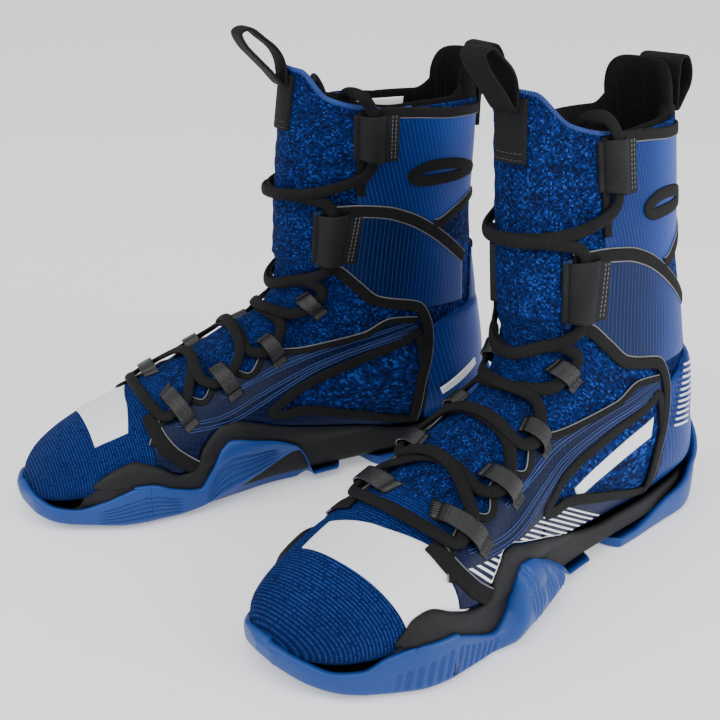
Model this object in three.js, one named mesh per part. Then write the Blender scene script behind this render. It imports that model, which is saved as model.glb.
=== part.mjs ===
// A pair of high-cut lace-up boxing boots, in millimetres, +Z up, toes towards -Y.
// Each boot is worked out in its own frame (x to the outer side, u from heel to toe, z up):
// one skin surface describes the foot and shaft, and every layer is a slab at some depth on it.
import * as THREE from "three";

// ---------------------------------------------------------------- driving dimensions
const FOOT_LENGTH = 284; // heel to toe over the knit
const FOOT_WIDTH = 94; // across the ball of the foot
const SHAFT_HEIGHT = 255; // top of the shaft surface over the floor
const HEEL_SPACING = 122.6; // between the two heels
const STAGGER = 39.3; // the right boot stands this much further forward
const TOE_OUT = THREE.MathUtils.degToRad(8.5);
const SLOUCH = { left: [-22, -4], right: [-13, 5] }; // sideways and forward lean at the top

const KNIT_WALL = 2.2;
const FILM = 0.9; // thickness of the welded film panels
const LAYER_GAP = 1.5; // from the knit to the film laid over it
const MIDSOLE_GAP = 2.4; // from the knit to the midsole
const MIDSOLE_WALL = 2.2;
const MIDSOLE_THICK = 2.8;
const SIDE_ROUNDING = 9; // the sock tucks in this far under the foot
const WAIST_INSET = 8; // the outsole is this much narrower under the arch
const HEEL_CLIP_CLEAR = 3.2; // the outsole heel stands off the padded heel panel
const TOE_DRAW = 3.3; // the sole walls draw in this far at the toe
const WING_FLARE = 7.5; // the outsole's outer wing stands this much further out
const OUTSOLE_GAP = 0.8; // between midsole and outsole
const OUTSOLE_WALL = 2;
const INSOLE_THICK = 3.5;
const COLLAR_PAD = 4.4;
const TAB_PAD = 7.5;
const PAD_CLEAR = 1.3; // the heel panel stands this much further off
const HEEL_BULGE = 2.1; // extra padding of the heel panel behind the heel
const LACE_WIDTH = 6.0;
const LACE_THICK = 3.0;
const SLEEVE_TAPE = 1.0; // tape of the lace sleeves and loops
const STRAP_THICK = 1.8;
const FRONT_STRAP_WIDTH = 15;
const HEEL_STRAP_WIDTH = 26;
const LOOP_LENGTH = 10; // lace loop, along the lacing edge
const LOOP_SPAN = 13; // lace loop, across the lacing edge

// ---------------------------------------------------------------- skin surface
// Rays fan out from the ankle pivot. Station q is negative up the shaft, 0 to 100 round the heel
// (90 degrees of fan) and above 100 along the foot. Each station is a rounded section between a
// front and a back radius from the pivot.
const PIVOT = { u: 150, z: 130 };
const NOMINAL = { length: 284, width: 94, height: 255 };
const shaftAt = (z) => PIVOT.z - z;
const fanAt = (degrees) => (degrees / 90) * 100;
const footAt = (u) => 100 + u - PIVOT.u;
const LAST_STATION = footAt(283);
// station, front radius, back radius, half width, sideways shift, roundness, skew to the sole
const SECTIONS = [
  [shaftAt(255), 29, 140, 31, 0, 2.2, 0],
  [shaftAt(232), 27, 141, 31, 0, 2.2, 0],
  [shaftAt(190), 22, 141, 29.5, 0, 2.2, 0],
  [shaftAt(150), 19, 140, 29, 0, 2.2, 0],
  [shaftAt(130), 18, 141, 30, 0, 2.2, 0.05],
  [fanAt(15), 20, 147, 32, 0, 2.2, 0.1],
  [fanAt(28), 22, 166, 34, 0, 2.2, 0.12],
  [fanAt(38), 24, 183, 36, 0, 2.3, 0.15],
  [fanAt(45), 26, 168, 36, 0, 2.4, 0.2],
  [fanAt(60), 31, 137, 36, 0, 2.5, 0.25],
  [fanAt(75), 35, 122, 37, 0, 2.5, 0.28],
  [footAt(150), 39, 118, 39, 1, 2.5, 0.28],
  [footAt(175), 53, 118, 44, 2, 2.5, 0.25],
  [footAt(200), 67, 118, 46.5, 3, 2.5, 0.22],
  [footAt(225), 78, 118, 47, 3, 2.5, 0.2],
  [footAt(250), 87, 118.5, 41.5, 2, 2.4, 0.18],
  [footAt(268), 97, 118, 33, 0, 2.3, 0.12],
  [footAt(278), 105, 117, 21, -2, 2.2, 0.05],
  [footAt(283), 112, 115, 5, -3, 2, 0],
];

const clamp = (v, low, high) => Math.min(Math.max(v, low), high);
const lerp = (a, b, t) => a + (b - a) * t;
const smooth = (low, high, v) => {
  const t = clamp((v - low) / (high - low), 0, 1);
  return t * t * (3 - 2 * t);
};
const signedPower = (v, e) => Math.sign(v) * Math.abs(v) ** e;

// Monotone cubic through the points (x ascending), which never overshoots them.
function curve(points) {
  const xs = points.map((p) => p[0]);
  const ys = points.map((p) => p[1]);
  const n = xs.length;
  const h = xs.slice(1).map((x, i) => x - xs[i]);
  const d = h.map((w, i) => (ys[i + 1] - ys[i]) / w);
  const slope = ys.map((_, i) => {
    if (i === 0 || i === n - 1) return i ? d[n - 2] : d[0];
    if (d[i - 1] * d[i] <= 0) return 0;
    const a = 2 * h[i] + h[i - 1];
    const b = h[i] + 2 * h[i - 1];
    return (a + b) / (a / d[i - 1] + b / d[i]);
  });
  return (x) => {
    const v = clamp(x, xs[0], xs[n - 1]);
    let i = 0;
    while (i < n - 2 && v > xs[i + 1]) i += 1;
    const t = (v - xs[i]) / h[i];
    const t2 = t * t;
    const t3 = t2 * t;
    return (
      (2 * t3 - 3 * t2 + 1) * ys[i] +
      (t3 - 2 * t2 + t) * h[i] * slope[i] +
      (3 * t2 - 2 * t3) * ys[i + 1] +
      (t3 - t2) * h[i] * slope[i + 1]
    );
  };
}

const [frontOf, backOf, halfOf, shiftOf, roundOf, skewOf] = [1, 2, 3, 4, 5, 6].map((k) =>
  curve(SECTIONS.map((s) => [s[0], s[k]])),
);

// Stretches the nominal surface to the driving dimensions, then leans the shaft.
function sized([x, u, z], slouch) {
  const upright = PIVOT.z + ((z - PIVOT.z) * (SHAFT_HEIGHT - PIVOT.z)) / (NOMINAL.height - PIVOT.z);
  const lean = clamp((z - 80) / 150, 0, 1.3) ** 1.3;
  return [
    (x * FOOT_WIDTH) / NOMINAL.width + slouch[0] * lean,
    (u * FOOT_LENGTH) / NOMINAL.length + slouch[1] * lean,
    z > PIVOT.z ? upright : z,
  ];
}

function surfacePoint(q, phi, slouch) {
  const mid = (frontOf(q) + backOf(q)) / 2;
  const half = (backOf(q) - frontOf(q)) / 2;
  const e = 2 / roundOf(q);
  const skew = skewOf(q);
  const r = mid - half * signedPower(Math.cos(phi), e);
  const wide = (signedPower(Math.sin(phi), e) * (1 - skew * Math.cos(phi))) / (1 + 0.3 * skew);
  const x = shiftOf(q) + halfOf(q) * wide;
  const angle = (clamp(q, 0, 100) / 100) * (Math.PI / 2);
  if (q < 0) return sized([x, PIVOT.u - r, PIVOT.z - q], slouch);
  if (q > 100) return sized([x, PIVOT.u + q - 100, PIVOT.z - r], slouch);
  return sized([x, PIVOT.u - r * Math.cos(angle), PIVOT.z - r * Math.sin(angle)], slouch);
}

// The station and half-turn angle of a place in the nominal side view.
function fromSide(u, z) {
  const angle = Math.atan2(PIVOT.z - z, PIVOT.u - u);
  let q = (angle / (Math.PI / 2)) * 100;
  let r = Math.hypot(PIVOT.u - u, PIVOT.z - z);
  if (z >= PIVOT.z) [q, r] = [PIVOT.z - z, PIVOT.u - u];
  else if (u >= PIVOT.u) [q, r] = [footAt(u), PIVOT.z - z];
  const mid = (frontOf(q) + backOf(q)) / 2;
  const half = (backOf(q) - frontOf(q)) / 2;
  const c = clamp((mid - r) / half, -1, 1);
  return [q, Math.acos(clamp(signedPower(c, roundOf(q) / 2), -1, 1))];
}

// A point at a height over the skin, with the skin's outward normal there.
function skinAt(q, phi, lift, slouch) {
  const step = 0.03;
  const point = new THREE.Vector3(...surfacePoint(q, phi, slouch));
  const across = new THREE.Vector3(...surfacePoint(q, phi + step, slouch)).sub(
    new THREE.Vector3(...surfacePoint(q, phi - step, slouch)),
  );
  const qa = Math.min(q + 1, LAST_STATION);
  const along = new THREE.Vector3(...surfacePoint(qa, phi, slouch)).sub(
    new THREE.Vector3(...surfacePoint(q - 1, phi, slouch)),
  );
  const middle = new THREE.Vector3(...surfacePoint(q, 0, slouch))
    .add(new THREE.Vector3(...surfacePoint(q, Math.PI, slouch)))
    .multiplyScalar(0.5);
  const normal = across.cross(along).normalize();
  if (normal.dot(point.clone().sub(middle)) < 0) normal.negate();
  return { point: point.clone().addScaledVector(normal, lift), normal };
}

// ---------------------------------------------------------------- closed solids
// Vertices are [x, u, z]; the mesh is stored as x, -u, z with its faces pointing out.
function closedGeometry(vertices, triangles) {
  const place = (v) => new THREE.Vector3(v.x, -v.u, v.z);
  const points = vertices.map(place);
  let volume = 0;
  for (const [a, b, c] of triangles) volume += points[a].dot(points[b].clone().cross(points[c]));
  const wound = volume < 0 ? triangles.map(([a, b, c]) => [a, c, b]) : triangles;
  const geometry = new THREE.BufferGeometry();
  geometry.setAttribute(
    "position",
    new THREE.Float32BufferAttribute(points.flatMap((p) => p.toArray()), 3),
  );
  geometry.setIndex(wound.flat());
  geometry.computeVertexNormals();
  return geometry;
}
const vertexOf = (p) => ({ x: p.x, u: p.y, z: p.z });

// A slab on the skin: place(s, t) gives the station and angle, low and high its two heights.
function slab(boot, columns, rows, place, low, high) {
  const vertices = [];
  for (const lift of [high, low]) {
    for (let j = 0; j <= rows; j += 1) {
      for (let i = 0; i <= columns; i += 1) {
        const [s, t] = [i / columns, j / rows];
        const [q, phi] = place(s, t);
        const { point } = skinAt(q, phi, lift(s, t), boot.slouch);
        vertices.push(vertexOf(point));
      }
    }
  }
  const wide = columns + 1;
  const layer = wide * (rows + 1);
  const at = (i, j, k) => k * layer + j * wide + i;
  const triangles = [];
  const quad = (a, b, c, d) => triangles.push([a, b, c], [a, c, d]);
  for (let j = 0; j < rows; j += 1) {
    for (let i = 0; i < columns; i += 1) {
      quad(at(i, j, 0), at(i + 1, j, 0), at(i + 1, j + 1, 0), at(i, j + 1, 0));
      quad(at(i, j, 1), at(i, j + 1, 1), at(i + 1, j + 1, 1), at(i + 1, j, 1));
    }
  }
  for (let i = 0; i < columns; i += 1) {
    quad(at(i, 0, 0), at(i, 0, 1), at(i + 1, 0, 1), at(i + 1, 0, 0));
    quad(at(i, rows, 0), at(i + 1, rows, 0), at(i + 1, rows, 1), at(i, rows, 1));
  }
  for (let j = 0; j < rows; j += 1) {
    quad(at(0, j, 0), at(0, j + 1, 0), at(0, j + 1, 1), at(0, j, 1));
    quad(at(columns, j, 0), at(columns, j, 1), at(columns, j + 1, 1), at(columns, j + 1, 0));
  }
  return closedGeometry(vertices, triangles);
}

// Equal loops of vertices joined one to the next, with the first and last loops capped.
function loopSolid(loops) {
  const count = loops[0].length;
  const vertices = loops.flat();
  const triangles = [];
  for (let j = 0; j + 1 < loops.length; j += 1) {
    for (let i = 0; i < count; i += 1) {
      const k = (i + 1) % count;
      const [a, b] = [j * count, (j + 1) * count];
      triangles.push([a + i, a + k, b + k], [a + i, b + k, b + i]);
    }
  }
  const cap = (loop, start, flip) => {
    const middle = vertices.length;
    const mean = (key) => loop.reduce((sum, v) => sum + v[key], 0) / count;
    vertices.push({ x: mean("x"), u: mean("u"), z: mean("z") });
    for (let i = 0; i < count; i += 1) {
      const [a, b] = [start + i, start + ((i + 1) % count)];
      triangles.push(flip ? [middle, a, b] : [middle, b, a]);
    }
  };
  cap(loops[0], 0, false);
  cap(loops[loops.length - 1], (loops.length - 1) * count, true);
  return closedGeometry(vertices, triangles);
}

// A strip on one side of the boot between two side-view curves, u from rear to front.
// side is +1 for the outer side and -1 for the inner side.
function sidePanel(boot, side, from, to, columns, rows, bottom, top, low, high) {
  const place = (s, t) => {
    const u = lerp(from, to, s);
    const [q, phi] = fromSide(u, lerp(bottom(u), top(u), t));
    return [q, side * phi];
  };
  return slab(boot, columns, rows, place, () => low, () => high);
}

// ---------------------------------------------------------------- colours and materials
const MATERIALS = {
  knit: { color: 0x1c3f9e, roughness: 0.85 },
  film: { color: 0x14306f, roughness: 0.35 },
  brightFilm: { color: 0x1f57b8, roughness: 0.35 },
  black: { color: 0x151517, roughness: 0.8 },
  rubber: { color: 0x2c63c4, roughness: 0.5 },
  foam: { color: 0x1a1a1c, roughness: 0.7 },
};
function mesh(name, geometry, look) {
  const made = new THREE.Mesh(geometry, new THREE.MeshStandardMaterial(MATERIALS[look]));
  made.name = name;
  return made;
}

// ---------------------------------------------------------------- edge curves in the side view
const SIDES = [
  ["lateral", 1],
  ["medial", -1],
];
const MIDSOLE_TOP = {
  lateral: curve([
    [8, 20], [60, 19], [95, 19], [110, 21], [130, 27], [145, 32.5], [160, 38], [174, 43], [182, 45.5],
    [187, 45], [192, 41], [197, 36], [204, 27.5], [213, 28.5], [223, 32], [233, 36], [241, 34], [250, 26],
    [259, 13], [264, 10.5],
  ]),
  medial: curve([
    [8, 20], [60, 20], [96, 28], [120, 33], [148, 39.5], [160, 44], [174, 48], [180, 47.5], [184, 45.5],
    [193, 36.5], [199, 25.5], [206, 24.5], [218, 31.5], [230, 36], [238, 34], [248, 29], [258, 20],
    [262, 12.5], [266, 10.5],
  ]),
};
const OUTSOLE_TOP = {
  lateral: curve([
    [5, 46], [12, 33], [25, 19], [45, 13], [60, 8], [72, 5.8], [128, 5.8], [137, 14], [150, 23], [163, 31],
    [172, 36], [179, 37], [185.5, 31], [190, 18], [199, 11.5], [207, 14], [215, 18], [231, 24], [245, 24],
    [256, 20], [264, 14.5], [272, 14], [279, 17], [284, 20],
  ]),
  medial: curve([
    [5, 46], [12, 33], [25, 19], [45, 13], [60, 8], [72, 5.8], [126, 5.8], [132, 19], [137, 25.5], [164, 36],
    [177, 39.5], [183, 36], [191, 22], [197, 15], [211, 18.5], [224, 24], [230, 24.5], [241, 21], [250, 16.5],
    [262, 12.5], [272, 14], [279, 18], [284, 21],
  ]),
};
// lower edge of the outsole's wall, lifted under the arch and at the toe
const OUTSOLE_LOW = curve([
  [4, 1], [20, 0.5], [84, 0.5], [100, 4], [140, 4], [158, 2.5], [176, 0.5], [240, 0.5], [256, 1],
  [270, 3], [284, 4.5],
]);
const KNIT_RIM = curve([
  [0, 232], [0.35, 231], [0.8, 217], [1.2, 212], [1.5, 210], [1.75, 211], [Math.PI, 212],
]);
const QUARTER_TOP = curve([
  [54, 89], [74, 91], [92, 84.5], [115, 81], [131, 79.5], [145, 80], [160, 75], [176, 69.5],
  [190, 63.5], [204, 56], [213, 50], [221, 40], [224, 34],
]);
const WINDOW_UPPER = curve([[54, 80], [60, 77], [100, 66], [137, 54.5], [148, 47], [156, 42]]);
const WINDOW_LOWER = curve([[53, 26], [59, 26.5], [100, 38], [137, 47], [147, 45.5]]);
const WING_TOP = curve([[22, 120], [36, 133], [50, 144], [64, 152], [79, 157], [98, 159], [117, 157]]);
const WING_BOTTOM = curve([[22, 93], [58, 95], [72, 97.5], [84, 101], [95, 111], [106, 121], [117, 124]]);
const CUFF_TOP = curve([[14, 208], [40, 209], [60, 211], [80, 212], [94, 210]]);
const CUFF_BOTTOM = curve([[14, 154], [30, 148], [43, 145], [52, 149], [64, 156], [79, 161], [94, 163.5]]);
const HEEL_PANEL_EDGE = curve([
  [23, 50], [30, 52], [70, 51], [80, 50], [86, 38], [90, 17], [112, 15], [126, 12],
]);

// ---------------------------------------------------------------- soles
// The skin's rearmost line and its toe line, as u over z.
const BACK_LINE = curve(
  Array.from({ length: 30 }, (_, i) => {
    const [, u, z] = surfacePoint(lerp(42, -60, i / 29), Math.PI, [0, 0]);
    return [z, u];
  }),
);
const TOE_LINE = curve(
  Array.from({ length: 30 }, (_, i) => {
    const q = lerp(LAST_STATION, footAt(200), i / 29);
    return [PIVOT.z - frontOf(q), PIVOT.u + q - 100];
  }),
);
const HEEL_END = 4;
const TOE_END = 283;
const RING = 64; // points round each sole outline, from the heel's middle by the outer side
const WALL_LEVEL = 24; // below this height the sole walls drop straight down
const TOE_LEVEL = 17;
const SPINE = { x: 1, rear: 45, front: 240 };

// A place on the sole wall: ring position k, height z, distance out from the skin's outline.
function outlinePoint(k, z, boot) {
  const turn = (k / RING) * 2 * Math.PI;
  const share = (1 - Math.cos(turn)) / 2;
  const level = Math.max(z, lerp(WALL_LEVEL, TOE_LEVEL, smooth(0.8, 1, share)));
  const toe = level < WALL_LEVEL ? TOE_LINE(level) : TOE_END;
  const u = clamp(lerp(HEEL_END, toe, share), BACK_LINE(level) + 0.05, TOE_LINE(level) - 0.05);
  const [q, phi] = fromSide(u, level);
  const [x, forward] = surfacePoint(q, Math.sin(turn) < 0 ? -phi : phi, boot.slouch);
  return new THREE.Vector2(x, forward);
}
function wallPoint(boot, k, z, out) {
  const here = outlinePoint(k, z, boot);
  const run = outlinePoint(k + 0.6, z, boot).sub(outlinePoint(k - 0.6, z, boot)).normalize();
  return { x: here.x + run.y * out, u: here.y - run.x * out, z };
}
// Which way along the foot, and which side's edge curve, a ring position reads.
function ringPlace(k) {
  const turn = (k / RING) * 2 * Math.PI;
  const u = lerp(HEEL_END, TOE_END, (1 - Math.cos(turn)) / 2);
  return { u, outer: turn <= Math.PI };
}
const edgeHeight = (tops, k) => {
  const { u, outer } = ringPlace(k);
  return outer ? tops.lateral(u) : tops.medial(u);
};
const towardsSpine = (v, z) => ({
  x: lerp(v.x, SPINE.x, SPINE_SHARE),
  u: lerp(v.u, clamp(v.u, SPINE.rear, SPINE.front), SPINE_SHARE),
  z,
});
function soleLoops(boot, rings) {
  return rings.map((ring) => Array.from({ length: RING }, (_, k) => ring(k)));
}

const MIDSOLE_OUT = MIDSOLE_GAP + MIDSOLE_WALL;
const OUTSOLE_IN = MIDSOLE_OUT + OUTSOLE_GAP;
const SOCK_FLOOR = 12; // underside of the sock
const MIDSOLE_FLOOR = SOCK_FLOOR - 2.6;
const MIDSOLE_BASE = MIDSOLE_FLOOR - MIDSOLE_THICK;
const OUTSOLE_FLOOR = MIDSOLE_BASE - 1.2;

const SPINE_SHARE = 0.6; // how far the flat faces' inner ring is drawn in to the spine
const THINNEST_WALL = 0.8;

function midsole(boot) {
  const top = (k) => edgeHeight(MIDSOLE_TOP, k);
  const draw = (k) => (TOE_DRAW - 0.1) * smooth(250, 262, ringPlace(k).u); // starts before the outsole's
  const outer = (k, out) => out - draw(k);
  const inner = (k) => Math.min(MIDSOLE_GAP, outer(k, MIDSOLE_OUT) - THINNEST_WALL);
  const wall = (z, out) => (k) => wallPoint(boot, k, z(k), outer(k, out));
  const lining = (z) => (k) => wallPoint(boot, k, z(k), inner(k));
  const flat = (z) => (k) => towardsSpine(wallPoint(boot, k, z, 0), z);
  return loopSolid(
    soleLoops(boot, [
      flat(MIDSOLE_BASE),
      wall(() => MIDSOLE_BASE, MIDSOLE_GAP - 2),
      wall(() => MIDSOLE_BASE + 2.5, MIDSOLE_OUT - 0.6),
      wall((k) => lerp(MIDSOLE_BASE + 2.5, top(k), 0.55), MIDSOLE_OUT),
      wall(top, MIDSOLE_OUT - 0.5),
      lining(top),
      lining((k) => Math.min(top(k) - 1, WALL_LEVEL - 2)),
      (k) => wallPoint(boot, k, MIDSOLE_FLOOR, -SIDE_ROUNDING),
      flat(MIDSOLE_FLOOR),
    ]),
  );
}

function outsole(boot) {
  const top = (k) => edgeHeight(OUTSOLE_TOP, k);
  const heel = (k) => HEEL_CLIP_CLEAR * smooth(60, 20, ringPlace(k).u);
  const waist = (k) => smooth(82, 94, ringPlace(k).u) * smooth(112, 100, ringPlace(k).u);
  const draw = (k) => TOE_DRAW * smooth(254, 266, ringPlace(k).u);
  const reach = (k, out) => lerp(out + heel(k) - draw(k), -WAIST_INSET, waist(k));
  const low = (k) => OUTSOLE_LOW(ringPlace(k).u);
  const flare = (k) => {
    const { u, outer } = ringPlace(k);
    return outer ? WING_FLARE * smooth(132, 150, u) * smooth(202, 184, u) : 0;
  };
  const wall = (z, out, flared = 0) => (k) => wallPoint(boot, k, z(k), reach(k, out + flared * flare(k)));
  const flat = (z) => (k) => towardsSpine(wallPoint(boot, k, z, 0), z);
  const out = OUTSOLE_IN + OUTSOLE_WALL;
  return loopSolid(
    soleLoops(boot, [
      flat(0),
      wall(low, out - 3.5, 0.3),
      wall((k) => Math.min(low(k) + 1.6, top(k) - 0.6), out - 1, 0.7),
      wall((k) => lerp(OUTSOLE_FLOOR, top(k), 0.5), out, 1),
      wall(top, out - 0.6, 0.3),
      wall(top, OUTSOLE_IN),
      wall((k) => Math.min(top(k) - 0.2, TOE_LEVEL - 2), OUTSOLE_IN),
      wall(() => OUTSOLE_FLOOR, OUTSOLE_IN),
      flat(OUTSOLE_FLOOR),
    ]),
  );
}

// ---------------------------------------------------------------- knit sock and what lies in it
function knitUpper(boot) {
  const COLUMNS = 20;
  const SHAFT_ROWS = 5;
  const FAN_ROWS = 10;
  const FOOT_ROWS = 11;
  const INNER_END = 0.955; // the inside stops this share of the way to the toe tip
  const loop = (index, lift, reach) => {
    const vertices = [];
    for (let i = 0; i < COLUMNS; i += 1) {
      const phi = (i / COLUMNS) * 2 * Math.PI;
      const rim = shaftAt(KNIT_RIM(Math.min(phi, 2 * Math.PI - phi)));
      let q = rim * (1 - index / SHAFT_ROWS);
      if (index > SHAFT_ROWS) q = (100 * (index - SHAFT_ROWS)) / FAN_ROWS;
      const foot = (index - SHAFT_ROWS - FAN_ROWS) / FOOT_ROWS;
      if (foot > 0) q = lerp(100, lerp(100, LAST_STATION, reach), Math.sin((foot * Math.PI) / 2) ** 0.85);
      vertices.push(vertexOf(skinAt(q, phi, lift, boot.slouch).point));
    }
    return vertices;
  };
  const last = SHAFT_ROWS + FAN_ROWS + FOOT_ROWS;
  const outer = Array.from({ length: last + 1 }, (_, j) => loop(last - j, 0, 1));
  const inner = Array.from({ length: last + 1 }, (_, j) => loop(j, -KNIT_WALL, INNER_END));
  return loopSolid([...outer, ...inner]);
}

const BOARD_GAP = 1.6; // clearance of the pieces that lie inside the faceted sock
function footbed(boot, halfAngle, from, to, top, thickness) {
  const place = (s, t) => [lerp(fanAt(from), footAt(to), t), Math.PI + lerp(-1, 1, s) * halfAngle];
  return slab(boot, 6, 16, place, () => top - thickness, () => top);
}

const COLLAR_LOW = 165; // height the padding begins at
const COLLAR_START = 0.9; // angle from the front where the padding begins
function collarLining(boot) {
  const low = -KNIT_WALL - BOARD_GAP - COLLAR_PAD;
  const place = (s, t) => {
    const phi = lerp(COLLAR_START, 2 * Math.PI - COLLAR_START, s);
    const rim = KNIT_RIM(Math.min(phi, 2 * Math.PI - phi));
    return [lerp(shaftAt(COLLAR_LOW), shaftAt(rim + 0.5), t), phi];
  };
  return slab(boot, 16, 3, place, () => low, () => -KNIT_WALL - BOARD_GAP);
}

const TAB_LOW = 215;
const TAB_TOP = 238;
const TAB_TURN = 0.74; // half angle it covers round the heel side
const TAB_DEPTH = 1.3; // its outer face lies this far under the skin surface
function heelTab(boot) {
  const place = (s, t) => {
    const turn = lerp(-1, 1, s);
    const top = TAB_TOP - 9 * Math.abs(turn) ** 3;
    return [lerp(shaftAt(TAB_LOW), shaftAt(top), t), Math.PI + TAB_TURN * turn];
  };
  const round = (s, t) => 1 - 0.55 * smooth(0.75, 1, t) - 0.2 * smooth(0.7, 1, Math.abs(2 * s - 1));
  const low = (s, t) => -TAB_DEPTH - TAB_PAD * (0.5 + 0.5 * round(s, t));
  const high = (s, t) => -TAB_DEPTH - TAB_PAD * (0.5 - 0.5 * round(s, t));
  return slab(boot, 8, 4, place, low, high);
}

// ---------------------------------------------------------------- film panels
const FILM_LOW = LAYER_GAP;
const FILM_HIGH = LAYER_GAP + FILM;
const EDGE_CLEAR = 4; // film edges stay this much above the midsole's edge

function quarterOverlay(boot, name, side) {
  const rand = (u) => MIDSOLE_TOP[name](u) + EDGE_CLEAR;
  const bottom = (u) => lerp(WINDOW_UPPER(u), rand(u), smooth(150, 158, u)); // over the window, then down
  return sidePanel(boot, side, 54, 218, 20, 3, bottom, QUARTER_TOP, FILM_LOW, FILM_HIGH);
}
function quarterRand(boot, name, side) {
  const bottom = (u) => MIDSOLE_TOP[name](u) + EDGE_CLEAR - 1;
  return sidePanel(boot, side, 53.5, 147, 9, 1, bottom, (u) => Math.max(WINDOW_LOWER(u), bottom(u) + 3),
    FILM_LOW + 0.5, FILM_HIGH + 0.5);
}
const ankleWing = (boot, name, side) =>
  sidePanel(boot, side, 24, 116.5, 9, 3, WING_BOTTOM, WING_TOP, FILM_LOW, FILM_HIGH);
const cuffPanel = (boot, name, side) =>
  sidePanel(boot, side, 15, 94, 8, 3, CUFF_BOTTOM, CUFF_TOP, FILM_LOW, FILM_HIGH);

function heelPanel(boot) {
  const place = (s, t) => {
    const z = lerp(26, 124, t);
    const reach = Math.abs(2 * s - 1) ** 2;
    const [q, phi] = fromSide(lerp(BACK_LINE(z), HEEL_PANEL_EDGE(z), reach), z);
    return [q, s < 0.5 ? phi : 2 * Math.PI - phi];
  };
  const bulge = (s, t) => FILM_HIGH + PAD_CLEAR + HEEL_BULGE * Math.sin(Math.PI * s) * smooth(0.95, 0.45, t);
  return slab(boot, 16, 15, place, () => FILM_LOW + PAD_CLEAR, bulge);
}

// ---------------------------------------------------------------- lace sleeves, loops and lace
const LACE_LIE = FILM_HIGH + 1.4; // underside of the lace where it lies on the film
const SLEEVE_RISE = LACE_THICK + 3.2;

// An arched tape between two ends, open at both, that the lace runs through.
function arch(boot, side, corners, columns, rows, base) {
  const place = (s, t) => {
    const u = lerp(lerp(corners[0][0], corners[1][0], s), lerp(corners[3][0], corners[2][0], s), t);
    const z = lerp(lerp(corners[0][1], corners[1][1], s), lerp(corners[3][1], corners[2][1], s), t);
    const [q, phi] = fromSide(u, z);
    return [q, side * phi];
  };
  const rise = (s) => base + SLEEVE_RISE * Math.sin(Math.PI * s) ** 0.55;
  return slab(boot, columns, rows, place, (s) => rise(s), (s) => rise(s) + SLEEVE_TAPE);
}
const SLEEVE_BASE = FILM_HIGH + 0.8;
// corners run: rear bottom, front bottom, front top, rear top
const WING_SLEEVE = [[103, 126], [115.5, 127.5], [114, 155.5], [98, 156]];
const CUFF_SLEEVE = [[79, 183], [93.5, 186], [93.5, 209.5], [79, 209.5]];

// Loop middles in the side view, from the toe up, and the lacing edge's direction.
const LOOPS = [[200, 55], [173, 67], [144.5, 80], [119, 103]];
const EDGE_RUN = [[0.87, -0.49], [0.91, -0.42], [0.9, -0.44], [0.8, -0.6]];
function laceLoop(boot, side, index) {
  const [u, z] = LOOPS[index];
  const [du, dz] = EDGE_RUN[index];
  const corner = (along, across) => [
    u + (du * along * LOOP_LENGTH - dz * across * LOOP_SPAN) / 2,
    z + (dz * along * LOOP_LENGTH + du * across * LOOP_SPAN) / 2,
  ];
  const corners = [corner(-1, -1), corner(-1, 1), corner(1, 1), corner(1, -1)];
  return arch(boot, side, corners, 5, 1, SLEEVE_BASE);
}

// The lace's route, chosen by hand: side (+1 outer, -1 inner, 0 over the tongue), u, z and the
// height of its underside over the skin. It is one lace, from the inside of one cuff to the other.
const LACE_DOWN = [
  [1, 103, 194, -16], [1, 101, 208, -16], [1, 99.5, 221.5, -8], [1, 93, 221.5, 3],
  [1, 88, 213, LACE_LIE + 1], [1, 86.5, 205, LACE_LIE + 0.6], [1, 86.5, 190, LACE_LIE + 0.6],
  [1, 89, 178, LACE_LIE],
  [1, 108, 170, 4.4], [0, 0, 166, 4], [-1, 120, 165, 3.2], [-1, 109, 161, LACE_LIE],
  [-1, 107, 150, LACE_LIE + 0.6], [-1, 109, 132, LACE_LIE + 0.6], [-1, 112, 122, LACE_LIE],
  [-1, 124, 117, 2.1], [0, 0, 113, 2], [1, 120, 117, 2.6], [1, 113, 112, LACE_LIE],
  [1, 119, 103, LACE_LIE + 0.8], [1, 124.5, 98.5, LACE_LIE], [1, 131, 97, 2.5], [0, 0, 98, 1.5],
  [-1, 136, 92, 2.5],
  [-1, 140, 84, LACE_LIE + 0.5], [-1, 148, 78.5, LACE_LIE + 0.5], [-1, 156, 79, 2.5], [0, 0, 84, 1.5],
  [1, 161, 79, 2.5], [1, 168.5, 70.5, LACE_LIE + 0.5], [1, 177, 65.5, LACE_LIE + 0.5],
  [1, 184, 66, 2.5], [0, 0, 71, 1.5], [-1, 190, 65, 2.5], [-1, 196, 57.5, LACE_LIE + 0.5],
  [-1, 203, 53.4, LACE_LIE + 0.6], [-1, 208, 51.5, LACE_LIE], [-1, 213, 55, 2.9],
];
// The tongue's side-view height at each crossing is a place on the front line of the skin.
const FRONT_LINE = curve([[62, 202], [71, 183], [84, 158], [98, 141], [113, 133], [130, 131], [166, 129]]);
const LACE_OVER = LACE_THICK + 1; // the way back crosses this much higher over the tongue

function laceRoute() {
  const flip = ([side, u, z, lift]) => [-side, u, z, side === 0 ? lift + LACE_OVER : lift];
  const raise = ([side, u, z, lift]) => [side, u, z, lift + (lift > 0 && lift < LACE_LIE - 0.2 ? 1.8 : 0)];
  const back = LACE_DOWN.map(flip).map(raise).reverse();
  const path = [...LACE_DOWN, ...back].map(([side, u, z, lift]) => {
    const centre = lift + LACE_THICK / 2;
    if (side === 0) return [z >= PIVOT.z ? shaftAt(z) : frontStation(z), 0, centre];
    const [q, phi] = fromSide(u, z);
    return [q, side * phi, centre];
  });
  return new THREE.CatmullRomCurve3(
    path.map(([q, phi, lift]) => new THREE.Vector3(q / 20, phi * 2, lift / 20)),
    false,
    "centripetal",
  );
}
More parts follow.
